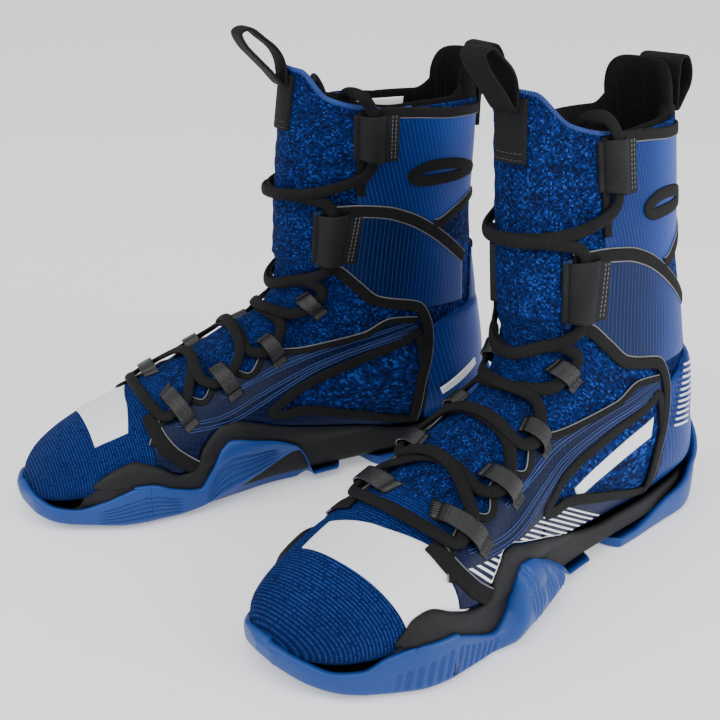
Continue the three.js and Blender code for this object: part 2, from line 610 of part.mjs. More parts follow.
// The station whose front line passes through a height under the pivot.
function frontStation(z) {
  const u = FRONT_LINE(z);
  const angle = Math.atan2(PIVOT.z - z, PIVOT.u - u);
  return u >= PIVOT.u ? footAt(u) : (angle / (Math.PI / 2)) * 100;
}

function lace(boot) {
  const SIDES_ROUND = 6;
  const STEPS = 108;
  const spline = laceRoute();
  const at = (t) => {
    const p = spline.getPoint(t);
    return skinAt(p.x * 20, p.y / 2, p.z * 20, boot.slouch);
  };
  const loops = [];
  for (let k = 0; k <= STEPS; k += 1) {
    const t = k / STEPS;
    const { point, normal } = at(t);
    const ahead = at(Math.min(t + 0.002, 1)).point.sub(at(Math.max(t - 0.002, 0)).point).normalize();
    const across = ahead.clone().cross(normal).normalize();
    const up = across.clone().cross(ahead).normalize();
    const loop = [];
    for (let i = 0; i < SIDES_ROUND; i += 1) {
      const a = (i / SIDES_ROUND) * 2 * Math.PI;
      const p = point
        .clone()
        .addScaledVector(across, (Math.cos(a) * LACE_WIDTH) / 2)
        .addScaledVector(up, (Math.sin(a) * LACE_THICK) / 2);
      loop.push(vertexOf(p));
    }
    loops.push(loop);
  }
  return loopSolid(loops);
}

// ---------------------------------------------------------------- pull loops
// A strap bent into a closed teardrop in the side view, as wide as the strap across the boot.
function pullLoop(anchor, outline, width) {
  const line = new THREE.CatmullRomCurve3(
    outline.map(([u, z]) => new THREE.Vector3(u, z, 0)),
    true,
    "centripetal",
  );
  const POINTS = 26;
  const edge = (offset) =>
    Array.from({ length: POINTS }, (_, i) => {
      const p = line.getPointAt(i / POINTS);
      const d = line.getTangentAt(i / POINTS);
      return new THREE.Vector2(p.x + d.y * offset, p.y - d.x * offset);
    });
  const wide = Math.abs(THREE.ShapeUtils.area(edge(STRAP_THICK / 2)));
  const thin = Math.abs(THREE.ShapeUtils.area(edge(-STRAP_THICK / 2)));
  const [outer, inner] = wide > thin ? [1, -1] : [-1, 1];
  const loops = [outer, inner].map((sign) => edge((sign * STRAP_THICK) / 2));
  const vertices = [];
  for (const x of [-width / 2, width / 2]) {
    for (const loop of loops) {
      for (const p of loop) vertices.push({ x: anchor.x + x, u: anchor.y + p.x, z: anchor.z + p.y });
    }
  }
  const at = (i, which, end) => end * 2 * POINTS + which * POINTS + (i % POINTS);
  const triangles = [];
  const quad = (a, b, c, d) => triangles.push([a, b, c], [a, c, d]);
  for (let i = 0; i < POINTS; i += 1) {
    quad(at(i, 0, 0), at(i + 1, 0, 0), at(i + 1, 0, 1), at(i, 0, 1));
    quad(at(i, 1, 0), at(i, 1, 1), at(i + 1, 1, 1), at(i + 1, 1, 0));
    quad(at(i, 0, 0), at(i, 1, 0), at(i + 1, 1, 0), at(i + 1, 0, 0));
    quad(at(i, 0, 1), at(i + 1, 0, 1), at(i + 1, 1, 1), at(i, 1, 1));
  }
  return closedGeometry(vertices, triangles);
}
// Outlines from the anchor on the skin: forward (u) and up (z).
const FRONT_LOOP = [
  [3, -8], [11, 0], [17.5, 6.5], [23.5, 13], [26, 19], [21, 21], [13.5, 16], [6.5, 10], [3, 3],
];
const HEEL_LOOP = [
  [-3.6, -4], [-9, 2.5], [-12.6, 8], [-12.8, 15], [-8, 22.5], [-2.6, 21.5], [-1.7, 14], [-2.3, 6],
];

const FRONT_SEAM = 232; // heights the pull loops are sewn on at
const HEEL_SEAM = 216;

// ---------------------------------------------------------------- one boot
function makeBoot(word, slouch) {
  const boot = { slouch };
  const group = new THREE.Group();
  const add = (name, geometry, look) => group.add(mesh(`${word}_${name}`, geometry, look));
  const inner = -KNIT_WALL - BOARD_GAP;
  add("outsole", outsole(boot), "rubber");
  add("midsole", midsole(boot), "foam");
  add("knit_upper", knitUpper(boot), "knit");
  add("insole", footbed(boot, 0.62, 48, 252, inner, INSOLE_THICK), "foam");
  add("collar_lining", collarLining(boot), "black");
  add("heel_tab", heelTab(boot), "black");
  add("heel_panel", heelPanel(boot), "brightFilm");
  for (const [name, side] of SIDES) {
    add(`quarter_overlay_${name}`, quarterOverlay(boot, name, side), "film");
    add(`quarter_rand_${name}`, quarterRand(boot, name, side), "film");
    add(`ankle_wing_${name}`, ankleWing(boot, name, side), "brightFilm");
    add(`cuff_panel_${name}`, cuffPanel(boot, name, side), "brightFilm");
    add(`wing_sleeve_${name}`, arch(boot, side, WING_SLEEVE, 6, 4, SLEEVE_BASE), "black");
    add(`cuff_sleeve_${name}`, arch(boot, side, CUFF_SLEEVE, 6, 3, SLEEVE_BASE), "black");
    LOOPS.forEach((_, i) => add(`lace_loop_${name}_${i + 1}`, laceLoop(boot, side, i), "black"));
  }
  add("shoelace", lace(boot), "black");
  const front = skinAt(shaftAt(FRONT_SEAM), 0, 0, slouch).point;
  const heel = skinAt(shaftAt(HEEL_SEAM), Math.PI, 0, slouch).point;
  add("front_pull_loop", pullLoop(front, FRONT_LOOP, FRONT_STRAP_WIDTH), "black");
  add("heel_pull_loop", pullLoop(heel, HEEL_LOOP, HEEL_STRAP_WIDTH), "black");
  return group;
}

// ---------------------------------------------------------------- the pair
const left = makeBoot("left", SLOUCH.left);
left.position.set(HEEL_SPACING / 2, STAGGER / 2, 0);
left.rotation.z = TOE_OUT;
const right = makeBoot("right", SLOUCH.right);
right.position.set(-HEEL_SPACING / 2, -STAGGER / 2, 0);
right.rotation.z = -TOE_OUT;
right.scale.x = -1;

const group = new THREE.Group();
group.add(left, right);
group.updateMatrixWorld(true);
const box = new THREE.Box3().setFromObject(group);
const centre = box.getCenter(new THREE.Vector3());
for (const boot of [left, right]) boot.position.sub(new THREE.Vector3(centre.x, centre.y, box.min.z));

export default group;
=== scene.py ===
"""A pair of high-cut lace-up boxing boots, toes towards -Y, in one frame with the CAD.

Every surface comes from one formula. Rays fan out from an ankle pivot: a station q runs down the
shaft, round the heel (0 to 100 over a quarter turn) and along the foot, and phi turns once round
the section there. The section is a superellipse between a front and a back radius from the
pivot, its half width pulled towards the sole. A layer is that surface moved along its normal, a
ribbon or stitch row is a profile carried along a path on it, and the soles are rings that drop
from its widest outline. Side-view places (u from the heel, z up, in mm) are turned back into
(q, phi), so panels, bindings and laces are drawn as side-view curves.
"""

import math

import bmesh
import bpy
import numpy as np
from mathutils import Matrix, Vector


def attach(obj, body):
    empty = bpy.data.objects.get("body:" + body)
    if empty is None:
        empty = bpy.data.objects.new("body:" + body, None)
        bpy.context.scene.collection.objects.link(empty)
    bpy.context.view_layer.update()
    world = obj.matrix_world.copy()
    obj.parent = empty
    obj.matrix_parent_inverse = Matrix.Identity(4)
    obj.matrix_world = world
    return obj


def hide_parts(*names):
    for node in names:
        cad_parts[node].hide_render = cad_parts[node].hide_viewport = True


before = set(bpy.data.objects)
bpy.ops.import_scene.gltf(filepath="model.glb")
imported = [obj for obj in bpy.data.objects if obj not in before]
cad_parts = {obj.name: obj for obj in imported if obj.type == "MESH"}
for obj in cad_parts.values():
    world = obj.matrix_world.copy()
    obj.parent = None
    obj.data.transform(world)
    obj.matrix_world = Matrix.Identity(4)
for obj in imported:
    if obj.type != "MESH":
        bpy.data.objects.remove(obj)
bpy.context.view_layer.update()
MM = 0.001

# ------------------------------------------------------------------ sizes shared with the CAD, mm
HEEL_SPACING = 122.6
HEEL_Y = {"left": 157.85, "right": 118.55}
TOE_OUT = math.radians(8.5)
SLOUCH = {"left": (-22.0, -4.0), "right": (-13.0, 5.0)}
PIVOT_U, PIVOT_Z = 150.0, 130.0
LAST = 233.0  # station of the toe tip

# ------------------------------------------------------------------ camera
CAMERA_AT = (461.9, -318.25, 313.3)
CAMERA_LOOKS_AT = (-183.9, 115.35, 0.0)
LENS = 57.1


def make_camera():
    data = bpy.data.cameras.new("camera")
    data.lens = LENS
    data.sensor_width = 36
    camera = bpy.data.objects.new("camera", data)
    bpy.context.scene.collection.objects.link(camera)
    at = np.array(CAMERA_AT) * MM
    forward = np.array(CAMERA_LOOKS_AT) * MM - at
    forward /= np.linalg.norm(forward)
    right = np.cross(forward, (0, 0, 1))
    right /= np.linalg.norm(right)
    up = np.cross(right, forward)
    matrix = np.eye(4)
    matrix[:3, 0], matrix[:3, 1], matrix[:3, 2], matrix[:3, 3] = right, up, -forward, at
    camera.matrix_world = Matrix(matrix.tolist())
    bpy.context.scene.camera = camera


make_camera()


# ------------------------------------------------------------------ curves and the skin formula
def curve(points):
    """Monotone cubic through (x, y) points, for whole arrays."""
    p = np.array(points, float)
    x, y = p[:, 0], p[:, 1]
    h, d = np.diff(x), np.diff(y) / np.diff(x)
    m = np.concatenate([d[:1], np.zeros(len(x) - 2), d[-1:]])
    for i in range(1, len(x) - 1):
        if d[i - 1] * d[i] > 0:
            a, b = 2 * h[i] + h[i - 1], h[i] + 2 * h[i - 1]
            m[i] = (a + b) / (a / d[i - 1] + b / d[i])

    def value(v):
        v = np.clip(np.asarray(v, float), x[0], x[-1])
        i = np.clip(np.searchsorted(x, v, side="right") - 1, 0, len(x) - 2)
        t = (v - x[i]) / h[i]
        return (
            (2 * t**3 - 3 * t**2 + 1) * y[i]
            + (t**3 - 2 * t**2 + t) * h[i] * m[i]
            + (3 * t**2 - 2 * t**3) * y[i + 1]
            + (t**3 - t**2) * h[i] * m[i + 1]
        )

    return value


def smooth(low, high, v):
    t = np.clip((np.asarray(v, float) - low) / (high - low), 0, 1)
    return t * t * (3 - 2 * t)


def lerp(a, b, t):
    return a + (b - a) * t


def shaft_at(z):
    return PIVOT_Z - z


def foot_at(u):
    return 100 + u - PIVOT_U


# station, front radius, back radius, half width, sideways shift, roundness, skew to the sole
SECTIONS = np.array(
    [
        (-125, 29, 140, 31, 0, 2.2, 0),
        (-102, 27, 141, 31, 0, 2.2, 0),
        (-60, 22, 141, 29.5, 0, 2.2, 0),
        (-20, 19, 140, 29, 0, 2.2, 0),
        (0, 18, 141, 30, 0, 2.2, 0.05),
        (16.667, 20, 147, 32, 0, 2.2, 0.1),
        (31.111, 22, 166, 34, 0, 2.2, 0.12),
        (42.222, 24, 183, 36, 0, 2.3, 0.15),
        (50, 26, 168, 36, 0, 2.4, 0.2),
        (66.667, 31, 137, 36, 0, 2.5, 0.25),
        (83.333, 35, 122, 37, 0, 2.5, 0.28),
        (100, 39, 118, 39, 1, 2.5, 0.28),
        (125, 53, 118, 44, 2, 2.5, 0.25),
        (150, 67, 118, 46.5, 3, 2.5, 0.22),
        (175, 78, 118, 47, 3, 2.5, 0.2),
        (200, 87, 118.5, 41.5, 2, 2.4, 0.18),
        (218, 97, 118, 33, 0, 2.3, 0.12),
        (228, 105, 117, 21, -2, 2.2, 0.05),
        (233, 112, 115, 5, -3, 2, 0),
    ]
)
FRONT, BACK, HALF, SHIFT, ROUND, SKEW = [curve(SECTIONS[:, (0, k)]) for k in range(1, 7)]


def signed_power(v, e):
    return np.sign(v) * np.abs(v) ** e


def surface(q, phi, slouch):
    q, phi = np.broadcast_arrays(np.asarray(q, float), np.asarray(phi, float))
    middle, half = (FRONT(q) + BACK(q)) / 2, (BACK(q) - FRONT(q)) / 2
    e, skew = 2 / ROUND(q), SKEW(q)
    r = middle - half * signed_power(np.cos(phi), e)
    x = SHIFT(q) + HALF(q) * signed_power(np.sin(phi), e) * (1 - skew * np.cos(phi)) / (1 + 0.3 * skew)
    turn = np.clip(q, 0, 100) / 100 * math.pi / 2
    u = np.where(q < 0, PIVOT_U - r, np.where(q > 100, PIVOT_U + q - 100, PIVOT_U - r * np.cos(turn)))
    z = np.where(q < 0, PIVOT_Z - q, np.where(q > 100, PIVOT_Z - r, PIVOT_Z - r * np.sin(turn)))
    lean = np.clip((z - 80) / 150, 0, 1.3) ** 1.3
    return np.stack([x + slouch[0] * lean, u + slouch[1] * lean, z], -1)


def from_side(u, z):
    u, z = np.broadcast_arrays(np.asarray(u, float), np.asarray(z, float))
    turn = np.arctan2(PIVOT_Z - z, PIVOT_U - u)
    q = np.where(z >= PIVOT_Z, PIVOT_Z - z, np.where(u >= PIVOT_U, foot_at(u), turn / (math.pi / 2) * 100))
    r = np.where(
        z >= PIVOT_Z,
        PIVOT_U - u,
        np.where(u >= PIVOT_U, PIVOT_Z - z, np.hypot(PIVOT_U - u, PIVOT_Z - z)),
    )
    middle, half = (FRONT(q) + BACK(q)) / 2, (BACK(q) - FRONT(q)) / 2
    c = np.clip((middle - r) / half, -1, 1)
    return q, np.arccos(np.clip(signed_power(c, ROUND(q) / 2), -1, 1))


def skin(q, phi, lift, slouch):
    """Points at a height over the skin, and the outward normals there."""
    p = surface(q, phi, slouch)
    across = surface(q, phi + 0.02, slouch) - surface(q, phi - 0.02, slouch)
    q = np.asarray(q, float)
    along = surface(np.minimum(q + 0.8, LAST), phi, slouch) - surface(q - 0.8, phi, slouch)
    n = np.cross(across, along)
    n /= np.maximum(np.linalg.norm(n, axis=-1, keepdims=True), 1e-9)
    centre = (surface(q, 0 * phi, slouch) + surface(q, 0 * phi + math.pi, slouch)) / 2
    n = np.where(((p - centre) * n).sum(-1, keepdims=True) < 0, -n, n)
    return p + n * np.asarray(lift, float)[..., None], n


def path(points, count, closed=False):
    """Centripetal Catmull-Rom spline through the points, sampled evenly along its length."""
    p = np.array(points, float)
    if closed:
        p = np.vstack([p[-2:] if len(p) > 2 else p[-1:], p, p[:3]])
    else:
        p = np.vstack([2 * p[0] - p[1], p, 2 * p[-1] - p[-2]])
    start, stop = (2, len(p) - 3) if closed else (1, len(p) - 2)
    pieces = []
    for i in range(start, stop):
        a, b, c, d = p[i - 1 : i + 3]
        t0 = 0.0
        t1 = t0 + max(np.linalg.norm(b - a), 1e-6) ** 0.5
        t2 = t1 + max(np.linalg.norm(c - b), 1e-6) ** 0.5
        t3 = t2 + max(np.linalg.norm(d - c), 1e-6) ** 0.5
        t = np.linspace(t1, t2, 24, endpoint=False)[:, None]
        ab = (t1 - t) / (t1 - t0) * a + (t - t0) / (t1 - t0) * b
        bc = (t2 - t) / (t2 - t1) * b + (t - t1) / (t2 - t1) * c
        cd = (t3 - t) / (t3 - t2) * c + (t - t2) / (t3 - t2) * d
        abc = (t2 - t) / (t2 - t0) * ab + (t - t0) / (t2 - t0) * bc
        bcd = (t3 - t) / (t3 - t1) * bc + (t - t1) / (t3 - t1) * cd
        pieces.append((t2 - t) / (t2 - t1) * abc + (t - t1) / (t2 - t1) * bcd)
    line = np.vstack(pieces + [p[stop : stop + 1]])
    length = np.concatenate([[0], np.cumsum(np.linalg.norm(np.diff(line, axis=0), axis=1))])
    at = np.linspace(0, length[-1], count, endpoint=not closed)
    return np.stack([np.interp(at, length, line[:, k]) for k in range(p.shape[1])], -1)


# ------------------------------------------------------------------ mesh building
class Pile:
    """Vertices, faces and UVs (in cm) of one piece, gathered in a boot's own frame (x, u, z) mm."""

    def __init__(self):
        self.points, self.faces, self.uvs, self.corner = [], [], [], []
        self.count = self.uv_count = 0

    def grid(self, p, uv, wrap=False, flip=False):
        rows, cols = p.shape[:2]
        uv_cols = uv.shape[1]
        i, j = np.meshgrid(np.arange(rows - 1), np.arange(cols if wrap else cols - 1), indexing="ij")
        j2 = (j + 1) % cols
        quads = np.stack([i * cols + j, i * cols + j2, (i + 1) * cols + j2, (i + 1) * cols + j], -1)
        corner = np.stack(
            [i * uv_cols + j, i * uv_cols + j + 1, (i + 1) * uv_cols + j + 1, (i + 1) * uv_cols + j], -1
        )
        if flip:
            quads, corner = quads[..., ::-1], corner[..., ::-1]
        self.faces += (quads.reshape(-1, 4) + self.count).tolist()
        self.corner += (corner.reshape(-1, 4) + self.uv_count).tolist()
        self.points.append(p.reshape(-1, 3))
        self.uvs.append(uv.reshape(-1, 2))
        self.count += rows * cols
        self.uv_count += uv.shape[0] * uv_cols
        return self

    def sheet(self, outer, inner, uv):
        """A sheet with thickness, closed round its edge."""
        ring = lambda g: np.concatenate([g[0, :], g[1:, -1], g[-1, -2::-1], g[-2:0:-1, 0]])
        edge_out, edge_in, edge_uv = ring(outer), ring(inner), ring(uv)
        self.grid(outer, uv)
        self.grid(inner, uv, flip=True)
        edge_uv = np.vstack([edge_uv, edge_uv[:1]])
        self.grid(np.stack([edge_in, edge_out]), np.stack([edge_uv, edge_uv]), wrap=True)
        return self

    def tube(self, centre, across, up, section, closed=False, uv_scale=0.1):
        """A closed section (k, 2) carried along a line of centres."""
        if section.ndim == 2:
            section = np.broadcast_to(section, (len(centre),) + section.shape)
        p = centre[:, None] + across[:, None] * section[..., :1] + up[:, None] * section[..., 1:]
        run = np.concatenate([[0], np.cumsum(np.linalg.norm(np.diff(centre, axis=0), axis=1))])
        widest = section[np.argmax(np.abs(section).max((1, 2)))]
        loop = np.vstack([widest, widest[:1]])
        girth = np.concatenate([[0], np.cumsum(np.linalg.norm(np.diff(loop, axis=0), axis=1))])
        if closed:
            p = np.concatenate([p, p[:1]])
            run = np.append(run, run[-1] + np.linalg.norm(centre[0] - centre[-1]))
        uv = np.stack(np.meshgrid(girth, run), -1) * uv_scale
        self.grid(p, uv, wrap=True)
        if not closed:
            for ring, flip in ((p[0], False), (p[-1], True)):
                inner = np.broadcast_to(ring.mean(0), ring.shape)
                cap = np.stack([inner, ring])
                self.grid(cap, np.zeros((2, len(ring) + 1, 2)), wrap=True, flip=flip)
        return self

    def make(self, name, boot, material, replaces=(), slot=None, body=None):
        p = boot.world(np.vstack(self.points)) * MM
        mesh = bpy.data.meshes.new(name)
        mesh.from_pydata(p.tolist(), [], self.faces)
        layer = mesh.uv_layers.new(name="UVMap")
        uv = np.vstack(self.uvs)[np.array(self.corner).ravel()]
        layer.data.foreach_set("uv", uv.ravel())
        bm = bmesh.new()
        bm.from_mesh(mesh)
        bmesh.ops.remove_doubles(bm, verts=bm.verts, dist=1e-7)
        bmesh.ops.recalc_face_normals(bm, faces=bm.faces)
        bm.to_mesh(mesh)
        bm.free()
        mesh.shade_smooth()
        mesh.materials.append(material)
        piece = bpy.data.objects.new(name, mesh)
        bpy.context.scene.collection.objects.link(piece)
        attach(piece, body or f"boot_{boot.word}")
        if replaces:
            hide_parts(*replaces)
        return piece


class Boot:
    """Which boot: its place, its mirror and how its shaft leans."""

    def __init__(self, word):
        self.word = word
        self.mirror = 1 if word == "left" else -1
        self.slouch = SLOUCH[word]

    def world(self, p):
        x, y = p[..., 0] * self.mirror, -p[..., 1]
        turn = TOE_OUT * self.mirror
        return np.stack(
            [
                x * math.cos(turn) - y * math.sin(turn) + self.mirror * HEEL_SPACING / 2,
                x * math.sin(turn) + y * math.cos(turn) + HEEL_Y[self.word],
                p[..., 2],
            ],
            -1,
        )

    def local(self, p):
        """World mm back to the boot's own x, u, z."""
        x, y = p[:, 0] - self.mirror * HEEL_SPACING / 2, p[:, 1] - HEEL_Y[self.word]
        turn = TOE_OUT * self.mirror
        across = x * math.cos(turn) + y * math.sin(turn)
        return np.stack([across * self.mirror, x * math.sin(turn) - y * math.cos(turn), p[:, 2]], -1)

    def skin(self, q, phi, lift):
        q, phi, lift = np.broadcast_arrays(
            np.asarray(q, float), np.asarray(phi, float), np.asarray(lift, float)
        )
        return skin(q, phi, lift, self.slouch)

    def name(self, word):
        return f"{self.word}_{word}"


def mesh_frame(points, normals, closed=False):
    """Unit across and up directions along a line on the skin."""
    run = np.gradient(points, axis=0)
    if closed:
        run = np.roll(points, -1, 0) - np.roll(points, 1, 0)
    run /= np.maximum(np.linalg.norm(run, axis=1, keepdims=True), 1e-9)
    across = np.cross(run, normals)
    across /= np.maximum(np.linalg.norm(across, axis=1, keepdims=True), 1e-9)
    return across, np.cross(across, run)


def band_section(width, height):
    """Cross-section of a pressed binding: flat middle, rounded shoulders, tucked edges."""
    x = np.array([-0.5, -0.49, -0.43, -0.25, 0, 0.25, 0.43, 0.49, 0.5, 0.3, -0.3]) * width
    y = np.array([-0.3, 0.45, 0.9, 1.0, 1.02, 1.0, 0.9, 0.45, -0.3, -0.4, -0.4]) * height
    return np.stack([x, y], -1)


def round_section(width, height, sides=12):
    a = np.linspace(0, 2 * math.pi, sides, endpoint=False)
    return np.stack([np.cos(a) * width / 2, np.sin(a) * height / 2], -1)


def side_line(side, points, count, closed=False):
    """Station and angle along a side-view line."""
    line = path(points, count, closed)
    q, phi = from_side(line[:, 0], line[:, 1])
    return q, side * phi


def band(pile, boot, q, phi, width, height, lift, closed=False):
    p, n = boot.skin(q, phi, lift)
    across, up = mesh_frame(p, n, closed)
    pile.tube(p, across, up, band_section(width, height), closed)


def thread(pile, boot, q, phi, radius, lift, closed=False, shift=0.0):
    p, n = boot.skin(q, phi, lift)
    across, up = mesh_frame(p, n, closed)
    pile.tube(p + across * shift, across, up, round_section(2 * radius, 2 * radius, 6), closed)


STITCH_WIDTH = 0.55
STITCH_SHARES = np.array([0, 0.12, 0.5, 0.88, 1])  # places along one stitch
STITCH_FULL = np.array([0.35, 0.85, 1, 0.85, 0.35])  # its thickness there


def stitches(pile, boot, q, phi, lift, pitch, length):
    """A row of raised thread stitches along a line on the skin."""
    p, n = boot.skin(q, phi, lift)
    across, up = mesh_frame(p, n)
    section = round_section(STITCH_WIDTH, STITCH_WIDTH * 0.8, 6)[None] * STITCH_FULL[:, None, None]
    run = np.concatenate([[0], np.cumsum(np.linalg.norm(np.diff(p, axis=0), axis=1))])
    for start in np.arange(pitch / 2, run[-1] - length, pitch):
        at = start + STITCH_SHARES * length
        pick = lambda a: np.stack([np.interp(at, run, a[:, k]) for k in range(3)], -1)
        pile.tube(pick(p), pick(across), pick(up), section)


EDGE_CURL = 0.35  # how far a film panel's outermost row is pressed down


def panel(boot, side, us, bottom, top, low, high, rows):
    """Grids of a film panel between two side-view curves; its edges are pressed down a little."""
    u = us[None, :]
    t = np.linspace(0, 1, rows)[:, None]
    z = lerp(bottom(u), top(u), t)
    u = np.broadcast_to(u, z.shape)
    q, phi = from_side(u, z)
    s = np.linspace(0, 1, len(us))[None, :]
    rim = np.minimum(np.minimum(t, 1 - t) * rows / 2, np.minimum(s, 1 - s) * len(us) / 2)
    drop = EDGE_CURL * (1 - np.clip(rim, 0, 1))
    outer, _ = boot.skin(q, side * phi, high - drop)
    inner, _ = boot.skin(q, side * phi, low)
    return outer, inner, np.stack([u, z], -1) / 10


# ------------------------------------------------------------------ shader helpers
class Nodes:
    """Short ways to add and join nodes in one tree."""

    def __init__(self, tree):
        self.tree = tree

    def feed(self, socket, value):
        if isinstance(value, bpy.types.NodeSocket):
            self.tree.links.new(value, socket)
        else:
            socket.default_value = value

    def add(self, kind, inputs=None, **settings):
        node = self.tree.nodes.new(kind)
        for key, value in settings.items():
            setattr(node, key, value)
        for key, value in (inputs or {}).items():
            self.feed(node.inputs[key], value)
        return node

    def math(self, operation, *values, clamp=False):
        node = self.add("ShaderNodeMath", operation=operation, use_clamp=clamp)
        for socket, value in zip(node.inputs, values):
            self.feed(socket, value)
        return node.outputs[0]

    def mix(self, factor, a, b):
        node = self.add("ShaderNodeMix", data_type="RGBA")
        for index, value in ((0, factor), (6, a), (7, b)):
            if index and not isinstance(value, bpy.types.NodeSocket):
                value = (*value, 1.0)
            self.feed(node.inputs[index], value)
        return node.outputs[2]

    def ramp(self, value, low, high, out_low=0.0, out_high=1.0):
        node = self.add("ShaderNodeMapRange", interpolation_type="SMOOTHSTEP")
        for socket, v in zip(node.inputs[:5], (value, low, high, out_low, out_high)):
            self.feed(socket, v)
        return node.outputs[0]

    def noise(self, vector, scale, detail=2.0):
        node = self.add("ShaderNodeTexNoise", {"Vector": vector, "Scale": scale, "Detail": detail})
        return node.outputs["Fac"]

    def pattern(self, name, **inputs):
        node = self.add("ShaderNodeGroup", node_tree=bpy.data.node_groups[name])
        for key, value in inputs.items():
            self.feed(node.inputs[key], value)
        return node.outputs


def group(name, inputs, outputs, build):
    """A named shader node group; build gets its Nodes and input sockets and returns the outputs."""
    tree = bpy.data.node_groups.new(name, "ShaderNodeTree")
    for socket, kind, default in inputs:
        made = tree.interface.new_socket(socket, in_out="INPUT", socket_type=kind)
        if default is not None:
            made.default_value = default
    for socket in outputs:
        tree.interface.new_socket(socket, in_out="OUTPUT", socket_type="NodeSocketFloat")
    made = Nodes(tree)
    values = build(made, made.add("NodeGroupInput").outputs)
    end = made.add("NodeGroupOutput")
    for socket, value in zip(outputs, values):
        made.feed(end.inputs[socket], value)


FLOAT, VECTOR = "NodeSocketFloat", "NodeSocketVector"


def split(n, vector):
    node = n.add("ShaderNodeSeparateXYZ", {"Vector": vector})
    return node.outputs[0], node.outputs[1]


def stitch_field(n, i):
    """Knit: each column's two legs slope into a V, each leg a rounded bead in its cell."""
    x, y = split(n, i["UV"])
    x, y = n.math("DIVIDE", x, i["Wale"]), n.math("DIVIDE", y, i["Course"])
    across = n.math("FRACT", x)
    leg = n.math("ABSOLUTE", n.math("MULTIPLY_ADD", across, 2.0, -1.0))
    slope = n.math("MULTIPLY_ADD", leg, 0.55, y)
    along = n.math("FRACT", slope)
    bead = n.math("SINE", n.math("MULTIPLY", along, math.pi))
    body = n.math("SINE", n.math("MULTIPLY", n.math("FRACT", n.math("MULTIPLY", x, 2.0)), math.pi))
    height = n.math("POWER", n.math("MULTIPLY", bead, body), 0.5)
    cell = n.add("ShaderNodeCombineXYZ")
    n.feed(cell.inputs[0], n.math("FLOOR", x))
    n.feed(cell.inputs[1], n.math("FLOOR", slope))
    pick = n.add("ShaderNodeTexWhiteNoise", {"Vector": cell.outputs[0]}, noise_dimensions="3D")
    odd = n.math("MODULO", n.math("ABSOLUTE", n.math("FLOOR", slope)), 2.0)
    return height, pick.outputs["Value"], odd


def thread_lines(n, i):
    """Straight lines of a width at a pitch, turned by an angle from the first UV axis."""
    x, y = split(n, i["UV"])
    c, s = n.math("COSINE", i["Angle"]), n.math("SINE", i["Angle"])
    place = n.math("ADD", n.math("MULTIPLY", x, c), n.math("MULTIPLY", y, s))
    phase = n.math("FRACT", n.math("DIVIDE", place, i["Pitch"]))
    off = n.math("ABSOLUTE", n.math("SUBTRACT", phase, 0.5))
    half = n.math("DIVIDE", n.math("MULTIPLY", i["Width"], 0.5), i["Pitch"])
    near = n.math("SUBTRACT", half, off)
    return (n.ramp(near, n.math("MULTIPLY", half, -0.5), n.math("MULTIPLY", half, 0.5)),)


def twill(n, i):
    """Woven tape: slanted floats over a fine cross rib."""
    x, y = split(n, i["UV"])
    slant = n.math("DIVIDE", n.math("ADD", x, n.math("MULTIPLY", y, i["Slant"])), i["Pitch"])
    rib = n.math("DIVIDE", y, i["Pitch"])
    a = n.math("SINE", n.math("MULTIPLY", slant, 2 * math.pi))
    b = n.math("SINE", n.math("MULTIPLY", rib, 2 * math.pi))
    return (n.math("MULTIPLY_ADD", n.math("MULTIPLY_ADD", a, 0.6, b), 0.3, 0.5),)


def handling(n, i):
    """Uneven sheen and tone that a surface gets from being handled, from 0 to 1."""
    place = n.add("ShaderNodeTexCoord").outputs["Object"]
    broad = n.noise(place, i["Broad"], 3.0)
    fine = n.noise(place, i["Fine"], 2.0)
    return n.ramp(broad, 0.3, 0.7), fine


UV_INPUT = ("UV", VECTOR, None)
group(
    "knit stitches",
    [UV_INPUT, ("Wale", FLOAT, 0.1), ("Course", FLOAT, 0.1)],
    ("Height", "Pick", "Odd"),
    stitch_field,
)
group(
    "thread lines",
    [UV_INPUT, ("Pitch", FLOAT, 0.25), ("Width", FLOAT, 0.03), ("Angle", FLOAT, 0.0)],
    ("Mask",),
    thread_lines,
)
group("twill tape", [UV_INPUT, ("Pitch", FLOAT, 0.08), ("Slant", FLOAT, 0.6)], ("Height",), twill)
group("handling", [("Broad", FLOAT, 30.0), ("Fine", FLOAT, 900.0)], ("Broad", "Fine"), handling)


def finish_material(name, build, **constants):
    """A material whose build step returns base colour, roughness, bump height and its depth in m."""
    material = bpy.data.materials.new(name)
    material.use_nodes = True
    n = Nodes(material.node_tree)
    shader = material.node_tree.nodes["Principled BSDF"]
    uv = n.add("ShaderNodeTexCoord").outputs["UV"]
    colour, roughness, height, depth = build(n, uv)
    n.feed(shader.inputs["Base Color"], colour)
    n.feed(shader.inputs["Roughness"], roughness)
    bump = n.add("ShaderNodeBump", {"Height": height, "Strength": 1.0, "Distance": depth})
    n.feed(shader.inputs["Normal"], bump.outputs[0])
    for key, value in constants.items():
        shader.inputs[key.replace("_", " ")].default_value = value
    return material


ROYAL, SKY = (0.004, 0.030, 0.22), (0.022, 0.105, 0.52)
NAVY, DEEP = (0.0015, 0.006, 0.04), (0.003, 0.018, 0.13)
# the first colour on the next line is painted shade, used for the knit's stitch hollows and the foam's groove
# tone
SHADE_TONE, SOOT = (0.001, 0.0015, 0.006), (0.002, 0.002, 0.0023)
BLACK, CHARCOAL = (0.003, 0.003, 0.0032), (0.010, 0.010, 0.011)


